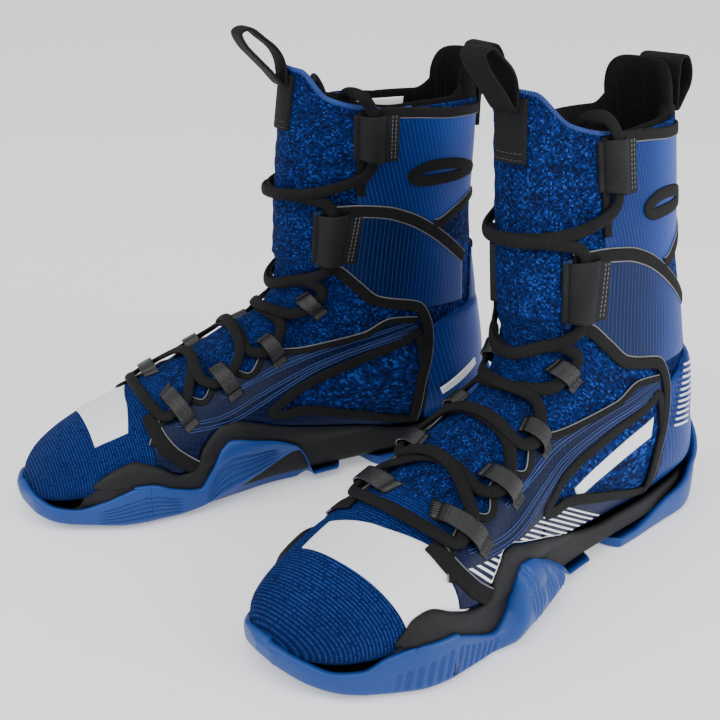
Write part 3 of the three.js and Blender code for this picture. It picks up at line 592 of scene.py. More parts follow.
def knit_look(n, uv):
    """Heathered yarns; light and dark courses alternate on the toe; larger stitches up the shaft. Painted
    shade darkens the hollows between stitches, and a painted highlight lightens the stitch crowns on the
    light courses.
    """
    toe = n.add("ShaderNodeAttribute", attribute_name="toe").outputs["Fac"]
    shaft = n.add("ShaderNodeAttribute", attribute_name="shaft").outputs["Fac"]
    fine = n.pattern("knit stitches", UV=uv, Wale=0.085, Course=0.07)
    bold = n.pattern("knit stitches", UV=uv, Wale=0.10, Course=0.085)
    wear = n.pattern("handling", Broad=60.0)
    patch = n.noise(uv, 1.4, 3.0)

    def heather(stitch):
        pick = n.math("ADD", stitch["Pick"], n.math("MULTIPLY_ADD", patch, 0.7, -0.35))
        tone = n.mix(n.ramp(pick, 0.10, 0.45), NAVY, DEEP)
        tone = n.mix(n.ramp(pick, 0.40, 0.75), tone, ROYAL)
        return n.mix(n.ramp(pick, 0.80, 1.0), tone, SKY)

    # painted highlight and shade: on the toe's light courses the stitch crowns are light and the low parts
    # between them dark
    banded = n.mix(fine["Odd"], DEEP, n.mix(n.ramp(fine["Height"], 0.3, 0.9), DEEP, SKY))
    banded = n.mix(n.ramp(fine["Pick"], 0.6, 0.95), banded, DEEP)
    colour = n.mix(toe, heather(fine), banded)
    colour = n.mix(shaft, colour, heather(bold))
    more = n.math("SUBTRACT", bold["Height"], fine["Height"])
    height = n.math("ADD", fine["Height"], n.math("MULTIPLY", shaft, more))
    # painted shade: the low parts between stitches are darkened towards the shade tone
    shade = n.ramp(height, 0.0, 0.6, 0.45, 1.0)
    colour = n.mix(shade, SHADE_TONE, colour)
    return colour, n.ramp(wear["Fine"], 0.3, 0.7, 0.72, 0.92), height, 0.0007


LINE_WIDTH = 0.028  # a film's fine lines, cm


def film_look(front, rear, line, from_u, to_u, pitch, cross, angle):
    """Coated ripstop: tone runs from the rear to the front, with fine lines one or two ways."""

    def build(n, uv):
        u, _ = split(n, uv)
        wear = n.pattern("handling", Broad=25.0, Fine=1400.0)
        along = n.ramp(n.math("ADD", u, n.math("MULTIPLY_ADD", wear["Broad"], 0.8, -0.4)), from_u, to_u)
        base = n.mix(along, rear, front)
        mask = n.pattern("thread lines", UV=uv, Pitch=pitch, Width=LINE_WIDTH, Angle=angle)["Mask"]
        if cross:
            square = angle + math.pi / 2
            other = n.pattern("thread lines", UV=uv, Pitch=cross, Width=LINE_WIDTH, Angle=square)
            mask = n.math("MAXIMUM", mask, other["Mask"])
        cloth = n.pattern("twill tape", UV=uv, Pitch=0.045, Slant=0.0)["Height"]
        colour = n.mix(n.math("MULTIPLY", mask, 0.6), base, line)
        colour = n.mix(n.math("MULTIPLY", cloth, 0.12), colour, line)
        height = n.math("ADD", n.math("MULTIPLY", cloth, 0.25), mask)
        return colour, n.ramp(wear["Fine"], 0.3, 0.7, 0.3, 0.46), height, 0.00012

    return build


def cloth_look(dark, light, pitch, slant, depth, rough):
    """Twill or ribbed cloth, with a painted highlight that lightens the crowns of its ribs."""

    def build(n, uv):
        wear = n.pattern("handling", Broad=40.0, Fine=1500.0)
        rib = n.pattern("twill tape", UV=uv, Pitch=pitch, Slant=slant)["Height"]
        # painted highlight: the rib crowns are mixed towards the light tone, more strongly where the broad
        # noise is high
        colour = n.mix(n.math("MULTIPLY", rib, n.ramp(wear["Broad"], 0.0, 1.0, 0.5, 1.0)), dark, light)
        return colour, n.ramp(wear["Fine"], 0.3, 0.7, rough - 0.08, rough + 0.08), rib, depth

    return build


def moulded_look(dark, light, groove, rough):
    """Moulded sole: fine grain, a soft change of tone, and painted shade that darkens the cut grooves."""

    def build(n, uv):
        wear = n.pattern("handling", Broad=18.0, Fine=2200.0)
        cut = n.add("ShaderNodeAttribute", attribute_name="groove").outputs["Fac"]
        tone = n.mix(n.math("MULTIPLY", wear["Broad"], 0.5), light, dark)
        tone = n.mix(n.ramp(wear["Fine"], 0.55, 0.75, 0.0, 0.35), tone, light)
        # painted shade: where the cuts are deep the colour goes to the groove tone
        colour = n.mix(n.ramp(cut, 0.25, 0.8), tone, groove)
        return colour, n.ramp(wear["Fine"], 0.3, 0.7, rough - 0.06, rough + 0.08), wear["Fine"], 0.00006

    return build


def print_look(n, uv):
    wear = n.pattern("handling", Broad=45.0, Fine=1200.0)
    weave = n.pattern("twill tape", UV=uv, Pitch=0.05, Slant=0.0)["Height"]
    colour = n.mix(n.math("MULTIPLY", weave, 0.25), (0.86, 0.87, 0.89), (0.6, 0.62, 0.66))
    return colour, n.ramp(wear["Fine"], 0.3, 0.7, 0.42, 0.58), weave, 0.00005


FILMS = {
    # tones at the front, at the rear and of the lines; where the tones meet (u in cm), pitch of the
    # lines, pitch of the lines across them (0 for none) and their angle; coat weight and roughness
    "dark film": ((0.0016, 0.004, 0.020), (0.0022, 0.007, 0.045), (0.006, 0.022, 0.10),
                  (6.0, 13.0, 0.30, 0.30, 0.35), 0.02, 0.25),
    "wing film": ((0.0012, 0.004, 0.028), ROYAL, (0.012, 0.075, 0.36),
                  (2.0, 7.5, 0.26, 0.0, 0.12), 0.03, 0.2),
    "bright film": ((0.0015, 0.010, 0.08), (0.004, 0.042, 0.30), (0.014, 0.10, 0.48),
                    (2.0, 8.0, 0.24, 0.0, -0.25), 0.03, 0.22),
}
CLOTHS = {
    # dark tone, light tone painted on the rib crowns as a highlight, pitch of the ribs in cm, slant, bump
    # depth in m, roughness, specular level
    "binding": (BLACK, CHARCOAL, 0.07, 0.5, 0.00018, 0.78, 0.2),
    "sleeve tape": (BLACK, (0.022, 0.023, 0.026), 0.085, 0.7, 0.00018, 0.78, 0.25),
    "loop tape": (BLACK, CHARCOAL, 0.06, 0.0, 0.00018, 0.3, 0.5),
    "webbing": (BLACK, (0.012, 0.012, 0.014), 0.11, 0.25, 0.0003, 0.78, 0.2),
    "lace": (SOOT, CHARCOAL, 0.10, 0.8, 0.0003, 0.78, 0.2),
    "padding": (SOOT, (0.007, 0.007, 0.008), 0.13, 0.0, 0.0003, 0.9, 0.15),
    "thread": ((0.10, 0.10, 0.11), (0.25, 0.25, 0.26), 0.05, 0.6, 0.0001, 0.78, 0.5),
    "dark thread": (CHARCOAL, (0.07, 0.07, 0.08), 0.05, 0.6, 0.0001, 0.78, 0.5),
    "cable": ((0.004, 0.015, 0.08), (0.012, 0.05, 0.22), 0.05, 0.6, 0.0001, 0.5, 0.5),
    "rim yarn": (NAVY, SKY, 0.13, 0.0, 0.0003, 0.78, 0.5),
}
MOULDED = {
    # dark and light tone, groove tone painted as shade in the cut grooves, roughness, specular level
    "rubber": ((0.007, 0.036, 0.17), (0.010, 0.052, 0.24), (0.001, 0.005, 0.03), 0.42, 0.3),
    "foam": ((0.004, 0.004, 0.0044), CHARCOAL, SHADE_TONE, 0.6, 0.25),
}
LOOKS = {
    "knit": finish_material("knit", knit_look, Specular_IOR_Level=0.12),
    "white_print": finish_material("white print", print_look),
}
for name, (*tones, lines, coat, gloss) in FILMS.items():
    LOOKS[name.replace(" ", "_")] = finish_material(
        name, film_look(*tones, *lines), Specular_IOR_Level=0.14, Coat_Weight=coat, Coat_Roughness=gloss
    )
for table, look in ((CLOTHS, cloth_look), (MOULDED, moulded_look)):
    for name, (*values, specular) in table.items():
        LOOKS[name.replace(" ", "_")] = finish_material(name, look(*values), Specular_IOR_Level=specular)


# ------------------------------------------------------------------ edge curves in the side view
MIDSOLE_TOP = {
    1: curve(
        [(8, 20), (60, 19), (95, 19), (110, 21), (130, 27), (145, 32.5), (160, 38), (174, 43), (182, 45.5),
         (187, 45), (192, 41), (197, 36), (204, 27.5), (213, 28.5), (223, 32), (233, 36), (241, 34),
         (250, 26), (259, 13), (264, 10.5)]
    ),
    -1: curve(
        [(8, 20), (60, 20), (96, 28), (120, 33), (148, 39.5), (160, 44), (174, 48), (180, 47.5), (184, 45.5),
         (193, 36.5), (199, 25.5), (206, 24.5), (218, 31.5), (230, 36), (238, 34), (248, 29), (258, 20),
         (262, 12.5), (266, 10.5)]
    ),
}
OUTSOLE_TOP = {
    1: curve(
        [(5, 46), (12, 33), (25, 19), (45, 13), (60, 8), (72, 5.8), (128, 5.8), (137, 14), (150, 23),
         (163, 31), (172, 36), (179, 37), (185.5, 31), (190, 18), (199, 11.5), (207, 14), (215, 18),
         (231, 24), (245, 24), (256, 20), (264, 14.5), (272, 14), (279, 17), (284, 20)]
    ),
    -1: curve(
        [(5, 46), (12, 33), (25, 19), (45, 13), (60, 8), (72, 5.8), (126, 5.8), (132, 19), (137, 25.5),
         (164, 36), (177, 39.5), (183, 36), (191, 22), (197, 15), (211, 18.5), (224, 24), (230, 24.5),
         (241, 21), (250, 16.5), (262, 12.5), (272, 14), (279, 18), (284, 21)]
    ),
}
# lower edge of the outsole's wall, which lifts under the arch and springs up at the toe
OUTSOLE_LOW = {
    1: curve([(4, 1), (20, 0), (84, 0), (100, 9), (128, 12), (140, 9), (158, 3), (176, 0.5), (240, 0.5),
              (256, 1), (270, 3), (279, 6), (284, 10)]),
    -1: curve([(4, 1), (20, 0), (84, 0), (100, 12), (122, 22), (136, 22), (153, 15), (174, 8), (191, 4),
               (210, 1.5), (235, 1.5), (256, 2.5), (270, 4), (279, 7), (284, 11)]),
}
KNIT_RIM = curve([(0, 232), (0.35, 231), (0.8, 217), (1.2, 212), (1.5, 210), (1.75, 211), (math.pi, 212)])
QUARTER_TOP = curve(
    [(54, 89), (74, 91), (92, 84.5), (115, 81), (131, 79.5), (145, 80), (160, 75), (176, 69.5),
     (190, 63.5), (204, 56), (213, 50), (221, 40), (224, 34)]
)
WINDOW_UPPER = curve([(54, 80), (60, 77), (100, 66), (137, 54.5), (148, 47), (156, 42)])
WINDOW_LOWER = curve([(53, 26), (59, 26.5), (100, 38), (137, 47), (147, 45.5)])
WING_TOP = curve([(22, 120), (36, 133), (50, 144), (64, 152), (79, 157), (98, 159), (117, 157)])
WING_BOTTOM = curve([(22, 93), (58, 95), (72, 97.5), (84, 101), (95, 111), (106, 121), (117, 124)])
CUFF_TOP = curve([(14, 208), (40, 209), (60, 211), (80, 212), (94, 210)])
CUFF_BOTTOM = curve([(14, 155), (30, 147), (45, 141), (52, 144), (64, 151), (79, 156), (94, 158)])
HEEL_PANEL_EDGE = curve([(23, 50), (30, 52), (70, 51), (80, 50), (86, 38), (90, 17), (112, 15), (126, 12)])
LOOPS = [(200, 55), (173, 67), (144.5, 80), (119, 103)]
EDGE_RUN = [(0.87, -0.49), (0.91, -0.42), (0.9, -0.44), (0.8, -0.6)]
WING_SLEEVE = [(103, 126), (115.5, 127.5), (114, 155.5), (98, 156)]
CUFF_SLEEVE = [(79, 183), (93.5, 186), (93.5, 209.5), (79, 209.5)]
FILM_LIFT = 1.1  # top of a film panel over the knit
BIND = 1.1  # height of a binding over the film
SIDES = {1: "lateral", -1: "medial"}


def scalloped_top(u):
    """The lacing edge: the quarter's top line, scooped down between neighbouring lace loops."""
    u = np.asarray(u, float)
    dip = np.zeros_like(u)
    for low, high in ((144.5, 173.0), (173.0, 200.0)):
        t = np.clip((u - low - 5) / (high - low - 10), 0, 1)
        dip += 5.0 * np.sin(math.pi * t) ** 1.2
    return QUARTER_TOP(u) - dip


# ------------------------------------------------------------------ knit sock
FAN_RUN = 78.0  # length given to the stitches round the heel fan, mm
GIRTH = 250.0  # girth that the stitch columns are spread over, mm


def course_run(q):
    """Where a station lies along the stitch columns, in mm: shaft, heel fan, then foot."""
    q = np.asarray(q, float)
    return np.where(q < 0, q, np.where(q > 100, FAN_RUN + q - 100, q * FAN_RUN / 100))


def folds(q, phi):
    """Soft cross folds where the sock bends at the instep and is drawn in under the laces."""
    run = course_run(q)
    instep = np.exp(-(((q - 30) / 38) ** 2)) * (0.5 + 0.5 * np.cos(phi))
    shaft = smooth(0, -30, q) * 0.35 * (0.5 + 0.5 * np.cos(phi))
    ripple = np.sin(run * 0.62 + 1.3 * np.sin(phi * 2.1) + 0.7 * np.sin(run * 0.11))
    broad = np.sin(run * 0.23 + 2.0 * np.sin(phi * 1.3 + 0.4))
    return (0.75 * instep + shaft) * (0.5 * ripple + 0.6 * broad)


def add_attribute(piece, name, values):
    layer = piece.data.attributes.new(name, "FLOAT", "POINT")
    layer.data.foreach_set("value", np.asarray(values, np.float32))


SOCK_COLUMNS = 220
OUTER_ROWS, INNER_ROWS = (66, 76, 92), (8, 10, 8)  # down the shaft, round the heel, along the foot
KNIT_WALL = 2.2
INNER_REACH = 0.955  # how far along the foot the inner skin goes


def sock_grid(boot, columns, row_counts, lift, reach):
    """The sock as stations by angles, with the toe rows drawn closer together."""
    shaft_rows, fan_rows, foot_rows = row_counts
    phi = np.linspace(-math.pi, math.pi, columns, endpoint=False)[None, :]
    rim = shaft_at(KNIT_RIM(np.abs(phi)))
    up = rim * (1 - np.linspace(0, 1, shaft_rows, endpoint=False)[:, None])
    fan = np.linspace(0, 100, fan_rows, endpoint=False)[:, None] + 0 * phi
    end = lerp(100, LAST, reach)
    foot = lerp(100, end, np.sin(np.linspace(0, 1, foot_rows)[:, None] * math.pi / 2) ** 0.85) + 0 * phi
    q = np.vstack([up, fan, foot])
    phi = np.broadcast_to(phi, q.shape)
    wave = folds(q, phi) if lift == 0 else 0
    p, _ = boot.skin(q, phi, lift + wave)
    ends = np.broadcast_to(p[-1:].mean(1, keepdims=True), p[-1:].shape)
    uv_phi = np.linspace(-math.pi, math.pi, columns + 1)[None, :] + 0 * q[:, :1]
    uv_run = course_run(np.hstack([q, q[:, :1]]))
    uv = np.stack([uv_phi / (2 * math.pi) * GIRTH, uv_run], -1) / 10
    return np.vstack([p, ends]), np.vstack([uv, uv[-1:]])


def knit_upper(boot):
    """One knitted sock with a wall: outer and inner skins joined round the mouth."""
    outer, uv = sock_grid(boot, SOCK_COLUMNS, OUTER_ROWS, 0.0, 1.0)
    inner, inner_uv = sock_grid(boot, SOCK_COLUMNS, INNER_ROWS, -KNIT_WALL, INNER_REACH)
    pile = Pile()
    pile.grid(outer, uv, wrap=True)
    pile.grid(inner, inner_uv, wrap=True, flip=True)
    pile.grid(np.stack([inner[0], outer[0]]), np.stack([inner_uv[0], uv[0]]), wrap=True)
    piece = pile.make(boot.name("knit_sock"), boot, LOOKS["knit"], [boot.name("knit_upper")], "knit")
    p = np.empty(len(piece.data.vertices) * 3)
    piece.data.vertices.foreach_get("co", p)
    local = boot.local(p.reshape(-1, 3) / MM)
    add_attribute(piece, "toe", smooth(203, 222, local[:, 1] + 0.12 * local[:, 2]) * (local[:, 2] < 70))
    add_attribute(piece, "shaft", smooth(96, 118, local[:, 2]))


def knit_rim(boot):
    """A ribbed roll of yarn round the open front of the mouth."""
    phi = np.linspace(-1.62, 1.62, 150)
    q = shaft_at(KNIT_RIM(np.abs(phi)) + 0.2)
    p, n = boot.skin(q, phi, -0.9)
    across, up = mesh_frame(p, n)
    Pile().tube(p, across, up, round_section(2.6, 3.4, 12)).make(
        boot.name("knit_rim"), boot, LOOKS["rim_yarn"], slot="knit"
    )


# ------------------------------------------------------------------ padded collar and tab
def cushion(boot, phi, low_z, top_z, outer, inner, around=28):
    """A padded band: at each angle a rounded section between two heights and two depths."""
    a = np.linspace(0, 2 * math.pi, around, endpoint=False)[None, :]
    z_mid, z_half = (low_z + top_z) / 2, (top_z - low_z) / 2
    z = z_mid[:, None] + z_half[:, None] * signed_power(np.cos(a), 0.45)
    depth = (outer + inner) / 2
    half = (outer - inner) / 2
    ribs = 0.22 * np.sin(phi[:, None] * 60) * smooth(0.1, 0.6, -np.sin(a))
    lift = depth[:, None] + half[:, None] * signed_power(np.sin(a), 0.75) + ribs
    p, _ = boot.skin(shaft_at(z), np.broadcast_to(phi[:, None], z.shape), lift)
    girth = np.linspace(0, 1, around + 1)[None, :] * 2 * (2 * z_half[:, None] + 5)
    uv = np.stack([girth, phi[:, None] * 32 + 0 * girth], -1) / 10
    ends = [np.broadcast_to(row.mean(0), row.shape)[None] for row in (p[0], p[-1])]
    return np.concatenate([ends[0], p, ends[1]]), np.concatenate([uv[:1], uv, uv[-1:]])


def tapered(t, share):
    """1 along most of a row, falling to 0 at both its ends along a quarter round."""
    d = np.clip(np.minimum(t, 1 - t) / share, 0, 1)
    return np.sqrt(np.clip(1 - (1 - d) ** 2, 0, 1))


COLLAR_START, COLLAR_LOW = 0.6, 168.0  # its first angle from the front, and its lower edge
TAB_REACH, TAB_LOW, TAB_SIDE, TAB_RISE = 0.8, 188.0, 214, 24  # half angle, lower edge, top at sides, rise


def collar(boot):
    """The padded lining, from one side of the open front round the back to the other."""
    t = np.linspace(0, 1, 200)
    phi = lerp(COLLAR_START, 2 * math.pi - COLLAR_START, t)
    away = np.abs(phi - math.pi)
    top = KNIT_RIM(math.pi - away) + 2 + 12 * smooth(1.0, 0.55, away)
    full = tapered(t, 0.04)
    middle, half = -5.2, 2.7
    p, uv = cushion(boot, phi, np.full(200, COLLAR_LOW), top, middle + half * full, middle - half * full)
    piece = Pile().grid(p, uv, wrap=True).make(
        boot.name("collar_padding"), boot, LOOKS["padding"], [boot.name("collar_lining")], "padding"
    )


def heel_tab(boot):
    """The padded tab that stands up behind the rim."""
    t = np.linspace(0, 1, 90)
    turn = lerp(-1, 1, t)
    phi = math.pi + TAB_REACH * turn
    top = TAB_SIDE + TAB_RISE * (1 - np.abs(turn) ** 6) ** 0.4
    full = tapered(t, 0.16)
    outer, inner = -4.4 + 4.0 * full, -4.4 - 4.4 * full
    p, uv = cushion(boot, phi, np.full(90, TAB_LOW), np.maximum(top, 195), outer, inner)
    piece = Pile().grid(p, uv, wrap=True).make(
        boot.name("heel_tab_pad"), boot, LOOKS["padding"], [boot.name("heel_tab")], "padding"
    )


# ------------------------------------------------------------------ film panels
def film_panel(boot, side, word, look, slot, us, bottom, top, rows, lift=0.0):
    us = np.linspace(*us)
    outer, inner, uv = panel(boot, side, us, bottom, top, lift - 0.3, lift + FILM_LIFT, rows)
    name = f"{word}_{SIDES[side]}"
    return Pile().sheet(outer, inner, uv).make(
        boot.name(name + "_film"), boot, LOOKS[look], [boot.name(name)], slot
    )


def film_panels(boot, side):
    """The four films of one side; each has its u range with a column count, two edges and rows."""
    rand = lambda u: MIDSOLE_TOP[side](u) + 0.5

    def quarter_bottom(u):
        upper = np.maximum(WINDOW_UPPER(u), rand(u) * smooth(150, 156, u))
        return lerp(upper, rand(u), smooth(150, 158, u))

    film_panel(boot, side, "quarter_overlay", "dark_film", "dark_film", (54, 219, 240), quarter_bottom,
               scalloped_top, 34)
    film_panel(boot, side, "quarter_rand", "dark_film", "dark_film", (53.5, 152, 110), rand,
               lambda u: np.maximum(WINDOW_LOWER(u), rand(u) + 3), 14)
    film_panel(boot, side, "ankle_wing", "wing_film", "bright_film", (24, 116.5, 110), WING_BOTTOM,
               WING_TOP, 46, 0.4)
    film_panel(boot, side, "cuff_panel", "bright_film", "bright_film", (15, 94, 100), CUFF_BOTTOM,
               CUFF_TOP, 56)


BACK_LINE = curve(
    [(p[2], p[1]) for p in surface(np.linspace(42, -60, 30), np.full(30, math.pi), (0, 0)).tolist()]
)
TOE_LINE = curve(
    [(PIVOT_Z - float(FRONT(q)), PIVOT_U + q - 100) for q in np.linspace(LAST, foot_at(200), 30).tolist()]
)


def heel_place(s, t):
    """Across the heel panel (s) and up it (t): out to its edge each way from the back line."""
    z = lerp(22, 124, t)
    reach = np.abs(2 * s - 1) ** 2
    q, phi = from_side(lerp(BACK_LINE(z), HEEL_PANEL_EDGE(z), reach), z)
    return q, np.where(s < 0.5, phi, 2 * math.pi - phi)


def heel_panel(boot):
    """The padded heel cap: fullest at the middle, falling to a thin welded edge."""
    s, t = np.meshgrid(np.linspace(0, 1, 110), np.linspace(0, 1, 80))
    q, phi = heel_place(s, t)
    full = np.sin(math.pi * s) ** 0.7 * smooth(1.0, 0.6, t) * smooth(0, 0.12, t)
    outer, _ = boot.skin(q, phi, 1.3 + 4.2 * full)
    inner, _ = boot.skin(q, phi, -0.2)
    uv = np.stack([np.abs(2 * s - 1) * 7.0, t * 10.2], -1)
    Pile().sheet(outer, inner, uv).make(
        boot.name("heel_cap"), boot, LOOKS["bright_film"], [boot.name("heel_panel")], "bright_film"
    )


# ------------------------------------------------------------------ bindings, prints and stitching
def along_u(function, start, stop, count=40, offset=0.0):
    u = np.linspace(start, stop, count)
    return list(zip(u.tolist(), (function(u) + offset).tolist()))


WINDOW_RING = (
    along_u(WINDOW_UPPER, 58, 142, 12, 1.5)
    + [(150, 47.5)]
    + along_u(WINDOW_LOWER, 142, 58, 12, -1.5)
    + [(53.5, 50)]
)
SLOT_RING = [(62, 173.5), (54, 177.3), (40, 178), (26, 175.5), (19, 172), (28, 170.2), (44, 169.8),
             (58, 170.4)]
BINDINGS = [
    # name, side-view line, width, lift, closed, which edges carry a painted highlight line (-1, 1)
    ("wing_top_binding", [(112, 156.2)] + along_u(WING_TOP, 100, 24, 24, -2.4), 6.6, 1.5, False, (-1, 1)),
    ("wing_bottom_binding", [(112, 124.5)] + along_u(WING_BOTTOM, 104, 66, 22, 2) + [(57, 95), (52, 86),
     (50.5, 76), (52, 64), (56, 48), (58, 32), (59, 23)], 6.4, 1.6, False, (1,)),
    ("quarter_edge_binding", along_u(scalloped_top, 58, 219, 150, -1.6), 3.6, 1.3, False, (-1,)),
    ("window_binding", WINDOW_RING, 5.6, 1.2, True, ()),
    ("vamp_binding", [(216, 52), (215.5, 46), (211.5, 39), (203, 31), (192, 24.5), (186, 24)], 8.0, 1.5,
     False, (1,)),
    ("cuff_top_binding", along_u(CUFF_TOP, 92, 15, 24, -2.2), 5.6, 1.3, False, (-1,)),
    ("cuff_bottom_binding", along_u(CUFF_BOTTOM, 47, 15, 24, 2.0), 6.0, 1.3, False, (1,)),
    ("cuff_front_binding", [(91.5, 211), (92, 195), (92, 180), (91.8, 165)], 5.0, 1.2, False, ()),
    ("slot_binding", SLOT_RING, 6.4, 1.4, True, ()),
]


def bindings(boot, side):
    edges = Pile()
    for name, line, width, lift, closed, lights in BINDINGS:
        count = 420 if closed else 300
        q, phi = side_line(side, line, count, closed)
        pile = Pile()
        band(pile, boot, q, phi, width, BIND, lift - 0.4, closed)
        pile.make(boot.name(f"{name}_{SIDES[side]}"), boot, LOOKS["binding"], slot="sleeve_tape")
        # painted highlight: on the listed edges a thin grey thread along the binding stands in for the light
        # on its rounded edge
        for light in lights:
            thread(edges, boot, q, phi, 0.42, lift + 0.1, closed, light * side * width * 0.49)
    edges.make(boot.name(f"edge_lines_{SIDES[side]}"), boot, LOOKS["thread"], slot="sleeve_tape")


def heel_binding(boot):
    """A narrow dark line pressed into the heel cap's upper edge."""
    s = np.linspace(0.02, 0.98, 160)
    q, phi = heel_place(s, np.full(160, 0.985))
    pile = Pile()
    band(pile, boot, q, phi, 3.4, 1.0, 1.0)
    pile.make(boot.name("heel_cap_binding"), boot, LOOKS["binding"], slot="sleeve_tape")


CABLES = [
    [(205, 49), (180, 51), (158, 58), (120, 70), (80, 79), (58, 84)],
    [(199, 46), (176, 48), (156, 54), (120, 67.5), (80, 77), (58, 80.5)],
    [(178, 60), (150, 68), (118, 76), (88, 82), (60, 87)],
    [(168, 63), (146, 71), (116, 78), (88, 84)],
]


def cables(boot, side):
    """Paired cords under the quarter film, running back from the lace loops."""
    pile = Pile()
    for line in CABLES:
        q, phi = side_line(side, line, 160)
        for shift in (-0.7, 0.7):
            thread(pile, boot, q, phi, 0.38, 1.15, False, shift)
    pile.make(boot.name(f"quarter_cords_{SIDES[side]}"), boot, LOOKS["cable"], slot="dark_film")


def quad(corners, columns, rows):
    """Shares across and up a four-cornered place in the side view, and the (u, z) there."""
    a, b, c, d = np.array(corners, float)
    s = np.linspace(0, 1, columns)[None, :]
    t = np.linspace(0, 1, rows)[:, None]
    place = lerp(lerp(a, b, s[..., None]), lerp(d, c, s[..., None]), t[..., None])
    return s, t, place[..., 0], place[..., 1]


def patch(pile, boot, side, corners, columns, rows, low, high, floor=None):
    """A four-cornered patch in the side view, kept above a floor line; corners go round it."""
    s, t, u, z = quad(corners, columns, rows)
    if floor is not None:
        z = np.maximum(z, floor(u) + t * 0.4)
    q, phi = from_side(u, z)
    rim = np.minimum(np.minimum(t, 1 - t) * rows, np.minimum(s, 1 - s) * columns)
    outer, _ = boot.skin(q, side * phi, high - 0.4 * (high - low) * (1 - np.clip(rim, 0, 1)))
    inner, _ = boot.skin(q, side * phi, low)
    pile.sheet(outer, inner, np.stack([u, z], -1) / 10)


def toe_print(pile, boot):
    """A plain band over the toe box, wider and further back towards the outer side's sole edge."""
    across = np.linspace(0, 1, 90)[None, :]
    along = np.linspace(-1, 1, 40)[:, None]
    q = foot_at(lerp(238, 226, across) + along * lerp(9, 19, across))
    phi = lerp(-0.75, 1.75, across) + 0 * along
    outer, _ = boot.skin(q, phi, 0.55 + 0 * phi)
    inner, _ = boot.skin(q, phi, -0.2 + 0 * phi)
    pile.sheet(outer, inner, np.stack([phi * 3, q / 10], -1))


BARS, DASHES = 17, 11


def prints(boot, side):
    """Plain white printed shapes: slanted bars, a toe band, a window bar and dashes outside, and
    one bar inside."""
    pile = Pile()
    floor = lambda u: MIDSOLE_TOP[side](u) + 0.8
    if side > 0:
        for t in np.linspace(0, 1, BARS):
            top, low = (140 + 68 * t, 47 - 3 * t), (98 + 98 * t, 24 + 9 * t)
            corners = [(low[0] - 1, low[1]), (low[0] + 1, low[1]), (top[0] + 1, top[1]), (top[0] - 1, top[1])]
            patch(pile, boot, side, corners, 3, 24, 0.6, 1.45, floor)
        toe_print(pile, boot)
        patch(pile, boot, side, [(62, 57), (122, 43), (124, 49.5), (61, 68)], 60, 12, 0.0, 0.6)
        for i in range(DASHES):
            u, z = 27 + 1.1 * i, 88 - 2.9 * i
            corners = [(u - 8, z - 4), (u + 9, z), (u + 9, z + 1.1), (u - 8, z - 2.9)]
            patch(pile, boot, side, corners, 20, 3, 4.0, 5.3)
    else:
        patch(pile, boot, side, [(16, 50), (42, 40), (44, 44), (17, 55)], 30, 8, 3.6, 5.0)
    pile.make(boot.name(f"white_prints_{SIDES[side]}"), boot, LOOKS["white_print"], slot="dark_film")


# ------------------------------------------------------------------ lace sleeves and loops
SLEEVE_BASE, SLEEVE_RISE, SLEEVE_TAPE = 0.9, 5.6, 0.9  # lift at the edges, arch over it, thickness


def arch(pile, boot, side, corners, columns, rows):
    """A tape arched across a four-cornered place: height is a power of a half sine across it."""
    s, t, u, z = quad(corners, columns, rows)
    q, phi = from_side(u, z)
    lift = SLEEVE_BASE + SLEEVE_RISE * np.sin(math.pi * s) ** 0.6
    outer, _ = boot.skin(q, side * phi, lift + SLEEVE_TAPE)
    inner, _ = boot.skin(q, side * phi, lift)
    a, b, _, d = np.array(corners, float)
    width, length = np.linalg.norm(b - a) / 10, np.linalg.norm(d - a) / 10
    uv = np.stack(np.broadcast_arrays(s * width, t * length), -1)
    pile.sheet(outer, inner, uv)


def strip(start, end, back, forward):
    """Corners of a strip beside the line from start up to end, reaching back and forward along u."""
    return [(start[0] + back, start[1]), (start[0] + forward, start[1]), (end[0] + forward, end[1]),
            (end[0] + back, end[1])]


def sleeves(boot, side):
    """The two lace sleeves of one side: an arched tape, its sewn rear and front edges, stitching."""
    for node, corners in (("wing_sleeve", WING_SLEEVE), ("cuff_sleeve", CUFF_SLEEVE)):
        name = f"{node}_{SIDES[side]}"
        pile = Pile()
        arch(pile, boot, side, corners, 30, 24)
        rear = [corners[0], corners[3]]
        patch(pile, boot, side, strip(*rear, -8, 1), 10, 24, 0.8, 2.1)
        patch(pile, boot, side, strip(corners[1], corners[2], -1, 2.5), 6, 24, -0.2, 1.9)
        pile.make(boot.name(name + "_tape"), boot, LOOKS["sleeve_tape"], [boot.name(name)], "sleeve_tape")
        seams = Pile()
        for shift in (-5.6, -3.6):
            line = [(rear[0][0] + shift, rear[0][1] + 1), (rear[1][0] + shift, rear[1][1] - 1)]
            q, phi = side_line(side, line, 60)
            stitches(seams, boot, q, phi, 2.2, 2.2, 1.5)
        seams.make(boot.name(name + "_stitching"), boot, LOOKS["thread"], slot="sleeve_tape")


LOOP_LENGTH, LOOP_WIDTH = 9, 11.5  # along the lacing edge, and across it


